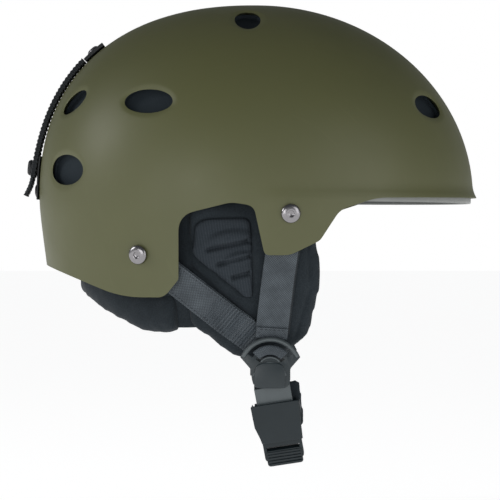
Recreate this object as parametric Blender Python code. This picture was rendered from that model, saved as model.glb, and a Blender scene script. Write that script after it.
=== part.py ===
"""Helmet with padded ear flaps, a two-point chin strap and a retainer for a goggle band.

Frame: +X forward, +Y the wearer's left, +Z up, in metres. The origin is the middle of the head
opening, level with the front brim. Right-hand pieces are modelled first and mirrored to the left.
"""

import math

import bmesh
import bpy
from mathutils import Matrix, Vector

# Clearances
TOUCH_GAP = 0.0003
STRAP_GAP = 0.0014
FACET_GAP = 0.0005
HEAD_SEAT = 0.0009

# Shell form: superellipse in plan and in profile
SHELL_FRONT = 0.138
SHELL_BACK = 0.139
SHELL_HALF_WIDTH = 0.112
SHELL_HEIGHT = 0.123
SHELL_WALL = 0.003
SHELL_SKIRT = 0.070
PLAN_POWER = 2.15
FRONT_POWER = 2.0
BACK_POWER = 2.33
REAR_WIDENING = 0.04
TUCK_RATE = 1.0
TUCK_ROUND = 0.010
BRIM_FLARE = 0.0022
BRIM_FLARE_HEIGHT = 0.008
AZIMUTH_STEPS = 48
CROWN_STEPS = 11
SKIRT_STEPS = 4

# Lower edge of the shell, seen from the side: corners (x, z) with their fillet radii
SHELL_EDGE = (
    (-0.160, -0.0325, 0.0),
    (-0.084, -0.0625, 0.100),
    (-0.0575, -0.0625, 0.009),
    (-0.0485, -0.0515, 0.004),
    (-0.0485, -0.0120, 0.013),
    (-0.0160, -0.0040, 0.020),
    (-0.0022, -0.0062, 0.007),
    (0.0045, -0.0365, 0.004),
    (0.0200, -0.0365, 0.016),
    (0.0385, -0.0275, 0.008),
    (0.0510, -0.0085, 0.014),
    (0.0740, -0.0010, 0.040),
    (0.160, 0.0000, 0.0),
)

# Lower edge of the foam, seen from the side
FOAM_EDGE = (
    (-0.160, -0.034, 0.0),
    (-0.106, -0.034, 0.006),
    (-0.101, -0.017, 0.006),
    (-0.064, -0.014, 0.006),
    (-0.060, 0.003, 0.004),
    (0.160, 0.005, 0.0),
)
FOAM_THICKNESS = 0.020

# Vents: x, z, length, height, turn in degrees in the surface; the first is on the centre line
CENTRE_VENT = (-0.054, 0.030, 0.016)
SIDE_VENTS = (
    (-0.0060, 0.1120, 0.0150, 0.0240, 0.0),
    (-0.0678, 0.0592, 0.0300, 0.0148, -2.0),
    (-0.1156, 0.0600, 0.0226, 0.0132, 25.0),
    (-0.1202, 0.0169, 0.0320, 0.0176, -3.5),
    (0.1080, 0.0572, 0.0250, 0.0150, 0.0),
)

# Comfort pads on the foam: azimuth range in degrees, height range, thickness
PAD_THICKNESS = 0.009
PAD_EDGE = 0.003
BROW_PAD = (-52.0, 52.0, 0.008, 0.044)
SIDE_PAD = (68.0, 118.0, 0.008, 0.056)
REAR_PAD = (140.0, 220.0, -0.024, 0.046)
CROWN_PAD_STATION = 0.34

# Flank: the surface that straps and ear pads lie on, leaning inwards below the shell
LEAN_START = -0.030
LEAN_RATE = 0.36
LEAN_ROUND = 0.015

# Webbing
WEB_WIDTH = 0.020
WEB_THICKNESS = 0.0015

# Strap screws
FRONT_SCREW = (0.0204, -0.0108)
REAR_SCREW = (-0.0732, -0.0361)
SCREW_HEAD_RADIUS = 0.0060
SCREW_HEAD_HEIGHT = 0.0024
SCREW_RADIUS = 0.0022
SCREW_HOLE_RADIUS = 0.0026
NUT_RADIUS = 0.0065
NUT_THICKNESS = 0.0018
DRIVE_RADIUS = 0.0019

# Straps from the screws to the divider, seen from the side
FRONT_STRAP = ((0.0222, -0.0020), (0.0204, -0.0108), (0.0158, -0.0340), (0.0110, -0.0700), (0.0088, -0.0905))
REAR_STRAP = ((-0.0796, -0.0313), (-0.0732, -0.0361), (-0.0500, -0.0538), (-0.0280, -0.0706), (-0.0095, -0.0848))

# Divider: a plate whose rim and bar are arcs, with an apron below and a bridge behind
PIVOT = (0.008, -0.110)
DIVIDER_Y = 0.091
DIVIDER_PLATE = 0.0025
RIM_CENTRE = 0.003
RIM_RADIUS = 0.020
RIM_WIDTH = 0.003
BAR_RADIUS = 0.012
BAR_WIDTH = 0.0024
WINDOW_FLOOR_RADIUS = 0.008
WINDOW_HALF_ANGLE = 56.0
APRON_HALF_WIDTH = 0.0124
APRON_BOTTOM = -0.0088
BRIDGE_REACH = 0.0026 + 3 * WEB_THICKNESS
BRIDGE_BAR = 0.0020
BRIDGE_POST = (0.0108, 0.0124)
FOLD_HALF_ANGLE = 46.0
FOLD_TAIL = 0.0020

# Chin strap frame: leaves the pivot down, forward and inwards
CHIN_BEND = 0.0025
CHIN_DIRECTION = (0.167, 0.401, -0.901)
KEEPER_TOP = 0.0055
KEEPER_BOTTOM = 0.0187
KEEPER_WALL = 0.0008
BUCKLE_TOP = 0.0190
BUCKLE_JOIN = 0.0433
BUCKLE_END = 0.0568
WEB_BAR = (0.0016, 0.0025)
WEB_SLOT = 0.0032
FEMALE_TOP_HALF_WIDTH = 0.0152
FEMALE_MOUTH_HALF_WIDTH = 0.0122
FEMALE_FRONT = -0.0026
FEMALE_BACK = 0.0064
CHAMBER_HALF_WIDTH = 0.0104
CHAMBER_WALL = 0.0015
CHAMBER_TOP = 0.0276
WINDOW_SPAN = (0.0300, 0.0392)
PRONG_CLEARANCE = 0.0004
PRONG_WIDTH = 0.0026
PRONG_HOOK = 0.0026
RELEASE_TRAVEL = 0.024
MALE_HALF_WIDTH = 0.0122
MALE_THICKNESS = 0.0044
GUARD_SPAN = (0.0080, 0.0420)
GUARD_HALF_WIDTH = 0.0150
GUARD_OFFSET = 0.0038
GUARD_THICKNESS = 0.0020
CHIN_SAG = 0.0095

# Ear flap, seen from the side
EAR_PAD_OUTLINE = (
    (-0.0465, -0.0015, 0.010),
    (0.0365, -0.0015, 0.010),
    (0.0435, -0.056, 0.050),
    (0.0350, -0.090, 0.018),
    (0.0130, -0.1060, 0.012),
    (-0.0130, -0.1045, 0.012),
    (-0.0435, -0.0840, 0.010),
    (-0.0465, -0.0700, 0.010),
)
EAR_PAD_CENTRE = (-0.006, -0.050)
EAR_PAD_THICKNESS = 0.015
EAR_PAD_EDGE = 0.006
EAR_PAD_INSET = 0.0090
EAR_INSERT_OUTLINE = (
    (-0.040, -0.0155, 0.008),
    (-0.0035, -0.0135, 0.006),
    (-0.0020, -0.0700, 0.004),
    (-0.0420, -0.0385, 0.006),
)
EAR_INSERT_CENTRE = (-0.020, -0.034)
EAR_INSERT_THICKNESS = 0.0050
EAR_INSERT_PROUD = 0.0016

# Nape pad
NAPE_END_X = -0.0585
NAPE_BACK_Z = -0.0670
NAPE_SIDE_Z = -0.088
NAPE_HEIGHT = 0.032
NAPE_THICKNESS = 0.014
NAPE_INSET_SIDE = 0.0100
NAPE_INSET_BACK = 0.0190

# Goggle-band retainer on the back centre line, by height on the shell
RETAINER_PLATE_SPAN = (0.0965, 0.0870)
RETAINER_STRAP_SPAN = (0.0858, 0.0130)
RETAINER_BASE_SPAN = (0.0265, -0.0010)
RETAINER_WIDTH = 0.022
RETAINER_PLATE_THICKNESS = 0.0030
RETAINER_STRAP_THICKNESS = 0.0026
RETAINER_BASE_THICKNESS = 0.0015
RETAINER_TOP_OFFSET = 0.0024
RETAINER_SNAP_OFFSET = 0.0044
SNAP_HEIGHT = 0.0188
SNAP_CAP_RADIUS = 0.0050
SNAP_CAP_HEIGHT = 0.0026
SNAP_STUD_RADIUS = 0.0035
SMALL_SCREW_RADIUS = 0.0040
PULL_TAB_END = (-0.1478, 0.0013)
PULL_TAB_THICKNESS = 0.0022

RIGHT, LEFT = -1.0, 1.0
SIDES = (("right", RIGHT), ("left", LEFT))


# ---------------------------------------------------------------- objects and materials


def clear_scene():
    """Remove every object that the file starts with."""
    for obj in list(bpy.data.objects):
        bpy.data.objects.remove(obj, do_unlink=True)


def material(name, colour, roughness, metallic=0.0):
    """Return the named Principled material, made once."""
    found = bpy.data.materials.get(name)
    if found:
        return found
    made = bpy.data.materials.new(name)
    made.use_nodes = True
    shader = made.node_tree.nodes["Principled BSDF"]
    shader.inputs["Base Color"].default_value = (*colour, 1.0)
    shader.inputs["Roughness"].default_value = roughness
    shader.inputs["Metallic"].default_value = metallic
    made.diffuse_color = (*colour, 1.0)
    return made


def shell_paint():
    return material("shell_paint", (0.105, 0.107, 0.052), 0.45)


def foam():
    return material("foam", (0.03, 0.032, 0.036), 0.9)


def pad_fabric():
    return material("pad_fabric", (0.018, 0.024, 0.034), 0.95)


def webbing():
    return material("webbing", (0.085, 0.095, 0.11), 0.85)


def strap_plastic():
    return material("strap_plastic", (0.035, 0.043, 0.047), 0.4)


def nickel():
    return material("nickel", (0.75, 0.73, 0.68), 0.25, 1.0)


def black_rubber():
    return material("black_rubber", (0.012, 0.013, 0.014), 0.6)


def new_object(name, bm, finish, side=RIGHT, smooth=True):
    """Close a bmesh into an object, mirrored to the left side when asked."""
    if side == LEFT:
        bmesh.ops.scale(bm, vec=(1.0, -1.0, 1.0), verts=bm.verts)
    bmesh.ops.recalc_face_normals(bm, faces=bm.faces)
    mesh = bpy.data.meshes.new(name)
    bm.to_mesh(mesh)
    bm.free()
    if smooth:
        mesh.shade_smooth()
        mesh.set_sharp_from_angle(angle=math.radians(35.0))
    mesh.materials.append(finish)
    obj = bpy.data.objects.new(name, mesh)
    bpy.context.scene.collection.objects.link(obj)
    return obj


def new_cutter(name, bm, side=RIGHT):
    """A helper mesh for Booleans, hidden from renders."""
    cutter = new_object(name, bm, foam(), side, smooth=False)
    cutter.hide_render = True
    cutter.display_type = "WIRE"
    return cutter


def cut(obj, cutter):
    """Subtract the cutter from the object with a live Boolean."""
    modifier = obj.modifiers.new("cut_" + cutter.name, "BOOLEAN")
    modifier.operation = "DIFFERENCE"
    modifier.solver = "EXACT"
    modifier.object = cutter


def place_on_axis(obj, point):
    """Put the object's origin on its joint axis and leave its shape where it is."""
    offset = Vector(point)
    obj.data.transform(Matrix.Translation(-offset))
    obj.location = offset


# ---------------------------------------------------------------- shell surface


def signed_power(value, power):
    return math.copysign(abs(value) ** power, value)


def ring_scale(z):
    """How far the plan shrinks at a height below the widest ring."""
    return 1.0 - TUCK_RATE * (math.hypot(z, TUCK_ROUND) - TUCK_ROUND) if z < 0 else 1.0


def profile_power(azimuth):
    return FRONT_POWER + (BACK_POWER - FRONT_POWER) * (1.0 - math.cos(azimuth)) / 2.0


def shell_point(azimuth, station):
    """Point of the outer surface. Station 0 is the crown, 1 the widest ring, 2 the skirt's end."""
    power = profile_power(azimuth)
    if station <= 1.0:
        angle = station * math.pi / 2.0
        ring = math.sin(angle) ** (2.0 / power)
        z = SHELL_HEIGHT * max(math.cos(angle), 0.0) ** (2.0 / power)
    else:
        z = -(station - 1.0) * SHELL_SKIRT
        ring = ring_scale(z)
    c, s = math.cos(azimuth), math.sin(azimuth)
    lengthwise = (SHELL_FRONT if c > 0 else SHELL_BACK) * ring
    x = lengthwise * signed_power(c, 2.0 / PLAN_POWER)
    y = SHELL_HALF_WIDTH * ring * signed_power(s, 2.0 / PLAN_POWER)
    y *= 1.0 - REAR_WIDENING * x / SHELL_FRONT
    flare = brim_flare(z) * max(c, 0.0) ** 0.5
    return Vector((x + flare * c, y + flare * s, z))


def brim_flare(z):
    """Outward lip of the front brim at a height."""
    share = min(max(1.0 - z / BRIM_FLARE_HEIGHT, 0.0), 1.0)
    return BRIM_FLARE * share * share


def shell_normal(azimuth, station):
    """Outward unit normal of the outer surface, by differences."""
    if station < 1e-6:
        return Vector((0.0, 0.0, 1.0))
    step = 1e-4
    along = shell_point(azimuth + step, station) - shell_point(azimuth - step, station)
    down = shell_point(azimuth, station + step) - shell_point(azimuth, station - step)
    return down.cross(along).normalized()


def station_of_height(azimuth, z):
    """The station whose point has this height."""
    if z < 0.0:
        return 1.0 - z / SHELL_SKIRT
    share = min(z / SHELL_HEIGHT, 1.0)
    return math.acos(share ** (profile_power(azimuth) / 2.0)) * 2.0 / math.pi


def surface(azimuth, station, inset):
    """Point at a depth under the outer surface, measured along the normal."""
    return shell_point(azimuth, station) - shell_normal(azimuth, station) * inset


def side_half_width(x, z):
    """Half width of the outer surface at a place seen from the side."""
    ring = ring_scale(z)
    if z > 0.0:
        power = profile_power(math.acos(max(-1.0, min(1.0, x / SHELL_BACK))))
        ring = (1.0 - (z / SHELL_HEIGHT) ** power) ** (1.0 / power)
    lengthwise = (SHELL_FRONT if x > 0 else SHELL_BACK) * ring
    share = max(1.0 - abs(x / lengthwise) ** PLAN_POWER, 0.0) ** (1.0 / PLAN_POWER)
    return SHELL_HALF_WIDTH * ring * share * (1.0 - REAR_WIDENING * x / SHELL_FRONT)


def flank_half_width(x, z):
    """Half width of the flank: the shell's side, leaning inwards below it."""
    drop = max(LEAN_START - z, 0.0)
    lean = LEAN_RATE * (math.hypot(drop, LEAN_ROUND) - LEAN_ROUND)
    return side_half_width(x, max(z, LEAN_START)) - lean


def flank_frame(x, z, inset):
    """Right-hand point and outward normal at a depth under the flank."""
    step = 1e-4
    slope_x = (flank_half_width(x + step, z) - flank_half_width(x - step, z)) / (2 * step)
    slope_z = (flank_half_width(x, z + step) - flank_half_width(x, z - step)) / (2 * step)
    normal = Vector((-slope_x, -1.0, -slope_z)).normalized()
    return Vector((x, -flank_half_width(x, z), z)) - normal * inset, normal


def normal_frame(point, normal, up=(0.0, 0.0, 1.0)):
    """Matrix at the point with local z along the normal and local y near up."""
    z_axis = Vector(normal).normalized()
    x_axis = Vector(up).cross(z_axis).normalized()
    y_axis = z_axis.cross(x_axis)
    turn = Matrix((x_axis, y_axis, z_axis)).transposed().to_4x4()
    return Matrix.Translation(point) @ turn


# ---------------------------------------------------------------- mesh builders


def stitch(bm, rows, closed_rows):
    """Quads between neighbouring rows of vertices."""
    for upper, lower in zip(rows, rows[1:]):
        count = len(upper)
        for i in range(count if closed_rows else count - 1):
            j = (i + 1) % count
            bm.faces.new((upper[i], upper[j], lower[j], lower[i]))


def rounded_outline(corners, steps=5, closed=True):
    """Points of a polygon whose corners carry fillets, given as (x, z, radius)."""
    points = []
    count = len(corners)
    for i, (x, z, radius) in enumerate(corners):
        here = Vector((x, z))
        if radius <= 0.0 or (not closed and i in (0, count - 1)):
            points.append(here)
            continue
        before = (Vector(corners[i - 1][:2]) - here)
        after = (Vector(corners[(i + 1) % count][:2]) - here)
        half = before.angle(after) / 2.0
        reach = min(radius / math.tan(half), 0.49 * before.length, 0.49 * after.length)
        start = here + before.normalized() * reach
        end = here + after.normalized() * reach
        for k in range(steps + 1):
            t = k / steps
            points.append(start * (1 - t) ** 2 + here * 2 * t * (1 - t) + end * t**2)
    return points


def prism(bm, outline, matrix, low, high):
    """Extrude a flat outline (u, v) between two depths along local z."""
    bottom = [bm.verts.new(matrix @ Vector((p[0], p[1], low))) for p in outline]
    top = [bm.verts.new(matrix @ Vector((p[0], p[1], high))) for p in outline]
    stitch(bm, (bottom, top), closed_rows=True)
    bm.faces.new(bottom)
    bm.faces.new(top)


def box(bm, low, high, matrix=None):
    """Axis-aligned box between two corners, then moved by the matrix."""
    outline = ((low[0], low[1]), (high[0], low[1]), (high[0], high[1]), (low[0], high[1]))
    prism(bm, outline, matrix or Matrix.Identity(4), low[2], high[2])


def turned(bm, profile, matrix, steps=20):
    """Spin a profile of (radius, height) round local z. It starts and ends on the axis."""
    rows = []
    for radius, height in profile[1:-1]:
        row = []
        for k in range(steps):
            angle = 2 * math.pi * k / steps
            row.append(bm.verts.new(matrix @ Vector((radius * math.cos(angle), radius * math.sin(angle), height))))
        rows.append(row)
    stitch(bm, rows, closed_rows=True)
    for row, (_, height) in ((rows[0], profile[0]), (rows[-1], profile[-1])):
        pole = bm.verts.new(matrix @ Vector((0.0, 0.0, height)))
        for i in range(steps):
            bm.faces.new((row[i], row[(i + 1) % steps], pole))


def turned_ring(bm, profile, matrix, steps=20):
    """Spin a closed profile of (radius, height) round local z, clear of the axis."""
    rows = []
    for k in range(steps + 1):
        angle = 2 * math.pi * (k % steps) / steps
        if k == steps:
            rows.append(rows[0])
            break
        turn = Matrix.Rotation(angle, 4, "Z")
        rows.append([bm.verts.new(matrix @ turn @ Vector((r, 0.0, h))) for r, h in profile])
    stitch(bm, rows, closed_rows=True)


def ribbon(bm, stations, width, thickness):
    """Flat strip through stations of (centre, across, normal)."""
    rows = []
    for centre, across, normal in stations:
        side = across.normalized() * (width / 2.0)
        depth = normal.normalized() * (thickness / 2.0)
        corners = (centre - side - depth, centre + side - depth, centre + side + depth, centre - side + depth)
        rows.append([bm.verts.new(corner) for corner in corners])
    stitch(bm, rows, closed_rows=True)
    bm.faces.new(rows[0])
    bm.faces.new(rows[-1])


def smooth_path(points, count):
    """Evenly spread points of a Catmull-Rom curve through the given ones."""
    points = [Vector(p) for p in points]
    ends = [2 * points[0] - points[1], *points, 2 * points[-1] - points[-2]]
    fine = []
    for a, b, c, d in zip(ends, ends[1:], ends[2:], ends[3:]):
        for k in range(16):
            t = k / 16
            fine.append(0.5 * (2 * b + (c - a) * t + (2 * a - 5 * b + 4 * c - d) * t**2
                               + (3 * b - a - 3 * c + d) * t**3))
    fine.append(points[-1])
    lengths = [0.0]
    for a, b in zip(fine, fine[1:]):
        lengths.append(lengths[-1] + (b - a).length)
    spread = []
    k = 0
    for i in range(count):
        target = lengths[-1] * i / (count - 1)
        while k < len(fine) - 2 and lengths[k + 1] < target:
            k += 1
        share = (target - lengths[k]) / (lengths[k + 1] - lengths[k])
        spread.append(fine[k].lerp(fine[k + 1], share))
    return spread


def tangents(points):
    """Unit directions along a row of points."""
    return [
        (points[min(i + 1, len(points) - 1)] - points[max(i - 1, 0)]).normalized()
        for i in range(len(points))
    ]


def turned_stations(points, across, offset=0.0):
    """Stations of a strip whose width runs along a fixed direction."""
    stations = []
    for point, tangent in zip(points, tangents(points)):
        normal = tangent.cross(across).normalized()
        stations.append((point + normal * offset, across, normal))
    return stations


# ---------------------------------------------------------------- shell, foam and pads


def crown_stations():
    """Stations of the shell's rows, closer together at the flared brim."""
    rows = [i / CROWN_STEPS for i in range(1, CROWN_STEPS + 1)]
    brim = [station_of_height(0.0, BRIM_FLARE_HEIGHT * share) for share in (1.0, 0.4)]
    skirt = [1.0 + (i + 1) / SKIRT_STEPS for i in range(SKIRT_STEPS)]
    return sorted(rows + brim) + skirt


def dome(bm, outer_inset, inner_inset):
    """Closed thick dome between two depths under the shell surface."""
    stations = crown_stations()
    edges = []
    for inset in (outer_inset, inner_inset):
        pole = bm.verts.new(surface(0.0, 0.0, inset))
        rows = []
        for station in stations:
            angles = [2 * math.pi * i / AZIMUTH_STEPS for i in range(AZIMUTH_STEPS)]
            rows.append([bm.verts.new(surface(angle, station, inset)) for angle in angles])
        for i in range(AZIMUTH_STEPS):
            bm.faces.new((pole, rows[0][i], rows[0][(i + 1) % AZIMUTH_STEPS]))
        stitch(bm, rows, closed_rows=True)
        edges.append(rows[-1])
    stitch(bm, edges, closed_rows=True)


def edge_cutter(name, edge):
    """Everything below a lower edge that is drawn from the side."""
    reach = SHELL_FRONT + SHELL_BACK
    outline = rounded_outline(edge, closed=False)
    outline += [Vector((edge[-1][0], -reach)), Vector((edge[0][0], -reach))]
    bm = bmesh.new()
    upright = Matrix.Rotation(math.pi / 2.0, 4, "X")
    prism(bm, outline, upright, -reach, reach)
    return new_cutter(name, bm)


def vent_outline(length, height, steps=16):
    angles = [2 * math.pi * k / steps for k in range(steps)]
    return [(length / 2 * math.cos(a), height / 2 * math.sin(a)) for a in angles]


def vent_cutters():
    """One cutter with all vents, each square to the shell where it opens."""
    bm = bmesh.new()
    x, length, height = CENTRE_VENT
    azimuth = math.pi
    station = centre_line_station(x)
    frame = normal_frame(shell_point(azimuth, station), shell_normal(azimuth, station), (0.0, 1.0, 0.0))
    prism(bm, vent_outline(length, height), frame, -SHELL_WALL * 2, SHELL_WALL * 2)
    for _, side in SIDES:
        mirror = Matrix.Diagonal((1.0, -side, 1.0, 1.0))
        for x, z, length, height, turn in SIDE_VENTS:
            point, normal = outer_frame(x, z)
            frame = mirror @ normal_frame(point, normal) @ Matrix.Rotation(math.radians(turn), 4, "Z")
            prism(bm, vent_outline(length, height), frame, -SHELL_WALL * 2, SHELL_WALL * 2)
    return new_cutter("vent_cutters", bm)


def centre_line_station(x):
    """Station on the back centre line with this x, by bisection."""
    low, high = 0.0, 1.0
    for _ in range(40):
        middle = (low + high) / 2.0
        if shell_point(math.pi, middle).x > x:
            low = middle
        else:
            high = middle
    return (low + high) / 2.0


def outer_frame(x, z):
    """Right-hand point and normal of the outer surface at a place seen from the side."""
    azimuth = -math.pi / 2.0 - math.asin(max(-1.0, min(1.0, x / SHELL_BACK)))
    for _ in range(60):
        station = station_of_height(azimuth, z)
        error = shell_point(azimuth, station).x - x
        azimuth -= error / SHELL_BACK * 0.8
    station = station_of_height(azimuth, z)
    return shell_point(azimuth, station), shell_normal(azimuth, station)


def add_shell(screw_holes):
    """Hard outer shell with its vents, screw holes and lower edge."""
    bm = bmesh.new()
    dome(bm, 0.0, SHELL_WALL)
    shell = new_object("outer_shell", bm, shell_paint())
    for cutter in (edge_cutter("shell_edge_cutter", SHELL_EDGE), vent_cutters(), screw_holes):
        cut(shell, cutter)


def add_foam_liner():
    """Foam that fills the shell above its own lower edge."""
    bm = bmesh.new()
    outer = SHELL_WALL + TOUCH_GAP
    dome(bm, outer, outer + FOAM_THICKNESS)
    liner = new_object("foam_liner", bm, foam())
    cut(liner, edge_cutter("foam_edge_cutter", FOAM_EDGE))


def pad_depth():
    """Depth of a pad under the foam, clear of the foam's flat facets."""
    return SHELL_WALL + TOUCH_GAP + FOAM_THICKNESS + FACET_GAP


def pillow(u, v, thickness):
    """Thickness of a cushion at a place in its unit square."""
    rise = (1.0 - abs(2 * u - 1) ** 4) * (1.0 - abs(2 * v - 1) ** 4)
    return PAD_EDGE + (thickness - PAD_EDGE) * math.sqrt(max(rise, 0.0))


def add_patch_pad(name, azimuths, heights, columns=12, rows=5):
    """Comfort pad on the foam between two azimuths in degrees and two heights."""
    bm = bmesh.new()
    layers = []
    for inner in (False, True):
        grid = []
        for j in range(rows + 1):
            v = j / rows
            row = []
            for i in range(columns + 1):
                u = i / columns
                azimuth = math.radians(azimuths[0] + (azimuths[1] - azimuths[0]) * u)
                station = station_of_height(azimuth, heights[1] + (heights[0] - heights[1]) * v)
                inset = pad_depth() + (pillow(u, v, PAD_THICKNESS) if inner else 0.0)
                row.append(bm.verts.new(surface(azimuth, station, inset)))
            grid.append(row)
        stitch(bm, grid, closed_rows=False)
        layers.append(grid)
    rims = []
    for grid in layers:
        rim = grid[0][:]
        rim += [row[-1] for row in grid[1:]]
        rim += grid[-1][-2::-1]
        rim += [row[0] for row in grid[-2:0:-1]]
        rims.append(rim)
    stitch(bm, rims, closed_rows=True)
    return new_object(name, bm, pad_fabric())


def add_crown_pad():
    """Round comfort pad under the crown."""
    bm = bmesh.new()
    steps = 24
    shares = (0.4, 0.75, 1.0)
    edges = []
    for inner in (False, True):
        depth = pad_depth() + (PAD_THICKNESS if inner else 0.0)
        pole = bm.verts.new(surface(0.0, 0.0, depth))
        rows = []
        for share in shares:
            inset = pad_depth() + (pillow(0.5 + share / 2, 0.5, PAD_THICKNESS) if inner else 0.0)
            angles = [2 * math.pi * i / steps for i in range(steps)]
            rows.append([bm.verts.new(surface(a, share * CROWN_PAD_STATION, inset)) for a in angles])
        for i in range(steps):
            bm.faces.new((pole, rows[0][i], rows[0][(i + 1) % steps]))
        stitch(bm, rows, closed_rows=True)
        edges.append(rows[-1])
    stitch(bm, edges, closed_rows=True)
    return new_object("crown_pad", bm, pad_fabric())


def add_comfort_pads():
    add_patch_pad("brow_pad", BROW_PAD[:2], BROW_PAD[2:])
    add_patch_pad("rear_pad", REAR_PAD[:2], REAR_PAD[2:])
    add_patch_pad("side_pad_left", SIDE_PAD[:2], SIDE_PAD[2:], columns=7)
    add_patch_pad("side_pad_right", (-SIDE_PAD[1], -SIDE_PAD[0]), SIDE_PAD[2:], columns=7)
    add_crown_pad()


def flank_cushion(outline, centre, inset, thickness, edge, rings=4, grow=0.0):
    """Cushion whose outer face lies along the flank and whose outline is drawn from the side."""
    middle = Vector(centre)
    rim = [corner + (corner - middle).normalized() * grow for corner in rounded_outline(outline, steps=3)]
    bm = bmesh.new()
    edges = []
    for inner in (False, True):
        rows = []
        for k in range(rings + 1):
            share = k / rings
            swell = edge + (thickness - edge) * math.sqrt(max(1.0 - share**4, 0.0))
            depth = inset + (swell if inner else 0.0)
            places = [middle.lerp(corner, share) for corner in rim] if k else [middle]
            rows.append([bm.verts.new(flank_frame(place.x, place.y, depth)[0]) for place in places])
        for i in range(len(rim)):
            bm.faces.new((rows[0][0], rows[1][i], rows[1][(i + 1) % len(rim)]))
        stitch(bm, rows[1:], closed_rows=True)
        edges.append(rows[-1])
    stitch(bm, edges, closed_rows=True)
    return bm


def add_ear_flap(label, side):
    """Ear pad, with the hearing panel set into a pocket in its outer face."""
    bm = flank_cushion(EAR_PAD_OUTLINE, EAR_PAD_CENTRE, EAR_PAD_INSET, EAR_PAD_THICKNESS, EAR_PAD_EDGE)
    pad = new_object(f"ear_pad_{label}", bm, pad_fabric(), side)
    depth, thick = EAR_PAD_INSET - EAR_INSERT_PROUD, EAR_INSERT_THICKNESS
    panel = (EAR_INSERT_OUTLINE, EAR_INSERT_CENTRE)
    deep = 2 * thick + 3 * TOUCH_GAP
    bm = flank_cushion(*panel, depth - thick, deep, deep, 2, 2 * TOUCH_GAP)
    cut(pad, new_cutter(f"ear_pocket_{label}", bm, side))
    bm = flank_cushion(*panel, depth, thick, thick, 2)
    new_object(f"ear_insert_{label}", bm, pad_fabric(), side)


def nape_bottom(x):
    """Height of the nape pad's lower edge at a place along the head."""
    share = max((NAPE_END_X - x) / (NAPE_END_X + 0.113), 0.0)
    return NAPE_SIDE_Z + (NAPE_BACK_Z - NAPE_SIDE_Z) * share**2


def add_nape_pad(steps=26, around=10):
    """Rolled pad round the nape, from behind one ear flap to the other."""
    turn = math.acos(-(abs(NAPE_END_X) / SHELL_BACK) ** (PLAN_POWER / 2.0))
    bm = bmesh.new()
    rows = []
    for i in range(steps + 1):
        azimuth = turn + (2 * math.pi - 2 * turn) * i / steps
        back = (-math.cos(azimuth) + math.cos(turn)) / (1.0 + math.cos(turn))
        inset = NAPE_INSET_SIDE + (NAPE_INSET_BACK - NAPE_INSET_SIDE) * math.sqrt(max(back, 0.0))
        outer = surface(azimuth, station_of_height(azimuth, -0.030), inset)
        inward = -Vector((math.cos(azimuth), math.sin(azimuth), 0.0))
        middle_z = nape_bottom(outer.x) + NAPE_HEIGHT / 2.0
        lean = LEAN_RATE * max(LEAN_START - middle_z, 0.0) * 0.5
        middle = outer + inward * (NAPE_THICKNESS / 2.0 + lean)
        row = []
        for k in range(around):
            angle = 2 * math.pi * k / around
            deep = signed_power(math.cos(angle), 0.7) * NAPE_THICKNESS / 2.0
            tall = signed_power(math.sin(angle), 0.7) * NAPE_HEIGHT / 2.0
            place = middle + inward * deep
            row.append(bm.verts.new((place.x, place.y, middle_z + tall)))
        rows.append(row)
    stitch(bm, rows, closed_rows=True)
    bm.faces.new(rows[0])
    bm.faces.new(rows[-1])
    return new_object("neck_pad", bm, pad_fabric())


# ---------------------------------------------------------------- screws and straps


def strap_inset():
    """Depth of the webbing's middle under the flank."""
    return SHELL_WALL + STRAP_GAP + WEB_THICKNESS / 2.0


def nut_inset():
    """Depth of the nut's outer face under the flank."""
    return strap_inset() + WEB_THICKNESS / 2.0 + TOUCH_GAP * 2


def screw_holes():
    """One cutter for the four strap screws and the two retainer screws."""
    bm = bmesh.new()
    for _, side in SIDES:
        mirror = Matrix.Diagonal((1.0, -side, 1.0, 1.0))
        for place in (FRONT_SCREW, REAR_SCREW):
            frame = mirror @ normal_frame(*flank_frame(*place, 0.0))
            prism(bm, vent_outline(2 * SCREW_HOLE_RADIUS, 2 * SCREW_HOLE_RADIUS, 16), frame,
                  -nut_inset(), SHELL_WALL)
    for height in (retainer_screw_height(), base_screw_height()):
        prism(bm, vent_outline(2 * SCREW_HOLE_RADIUS, 2 * SCREW_HOLE_RADIUS, 16),
              back_frame(height, 0.0), -2 * SHELL_WALL, 2 * SHELL_WALL)
    return new_cutter("screw_holes", bm)


def screw_profile(head_radius, head_height, seat, reach):
    """Domed head with a small round drive recess, then a plain shank."""
    dome_top = seat + head_height
    recess = 0.4 * head_height
    return (
        (0.0, dome_top - recess),
        (DRIVE_RADIUS, dome_top - recess),
        (DRIVE_RADIUS * 1.15, dome_top - 0.02 * head_height),
        (head_radius * 0.72, dome_top - 0.22 * head_height),
        (head_radius * 0.94, seat + 0.36 * head_height),
        (head_radius, seat),
        (SCREW_RADIUS, seat),
        (SCREW_RADIUS, reach),
        (0.0, reach),
    )


def add_strap_screw(label, side, which, place):
    """Screw from outside, with the flat nut that clamps the webbing."""
    point, normal = flank_frame(*place, 0.0)
    frame = normal_frame(point, normal)
    reach = -(nut_inset() + NUT_THICKNESS)
    bm = bmesh.new()
    turned(bm, screw_profile(SCREW_HEAD_RADIUS, SCREW_HEAD_HEIGHT, HEAD_SEAT, reach), frame, 16)
    new_object(f"strap_screw_{which}_{label}", bm, nickel(), side)
    bm = bmesh.new()
    inner = SCREW_RADIUS + TOUCH_GAP
    nut = ((inner, reach), (NUT_RADIUS, reach), (NUT_RADIUS, -nut_inset()), (inner, -nut_inset()))
    turned_ring(bm, nut, frame, 16)
    new_object(f"strap_nut_{which}_{label}", bm, nickel(), side)


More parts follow.
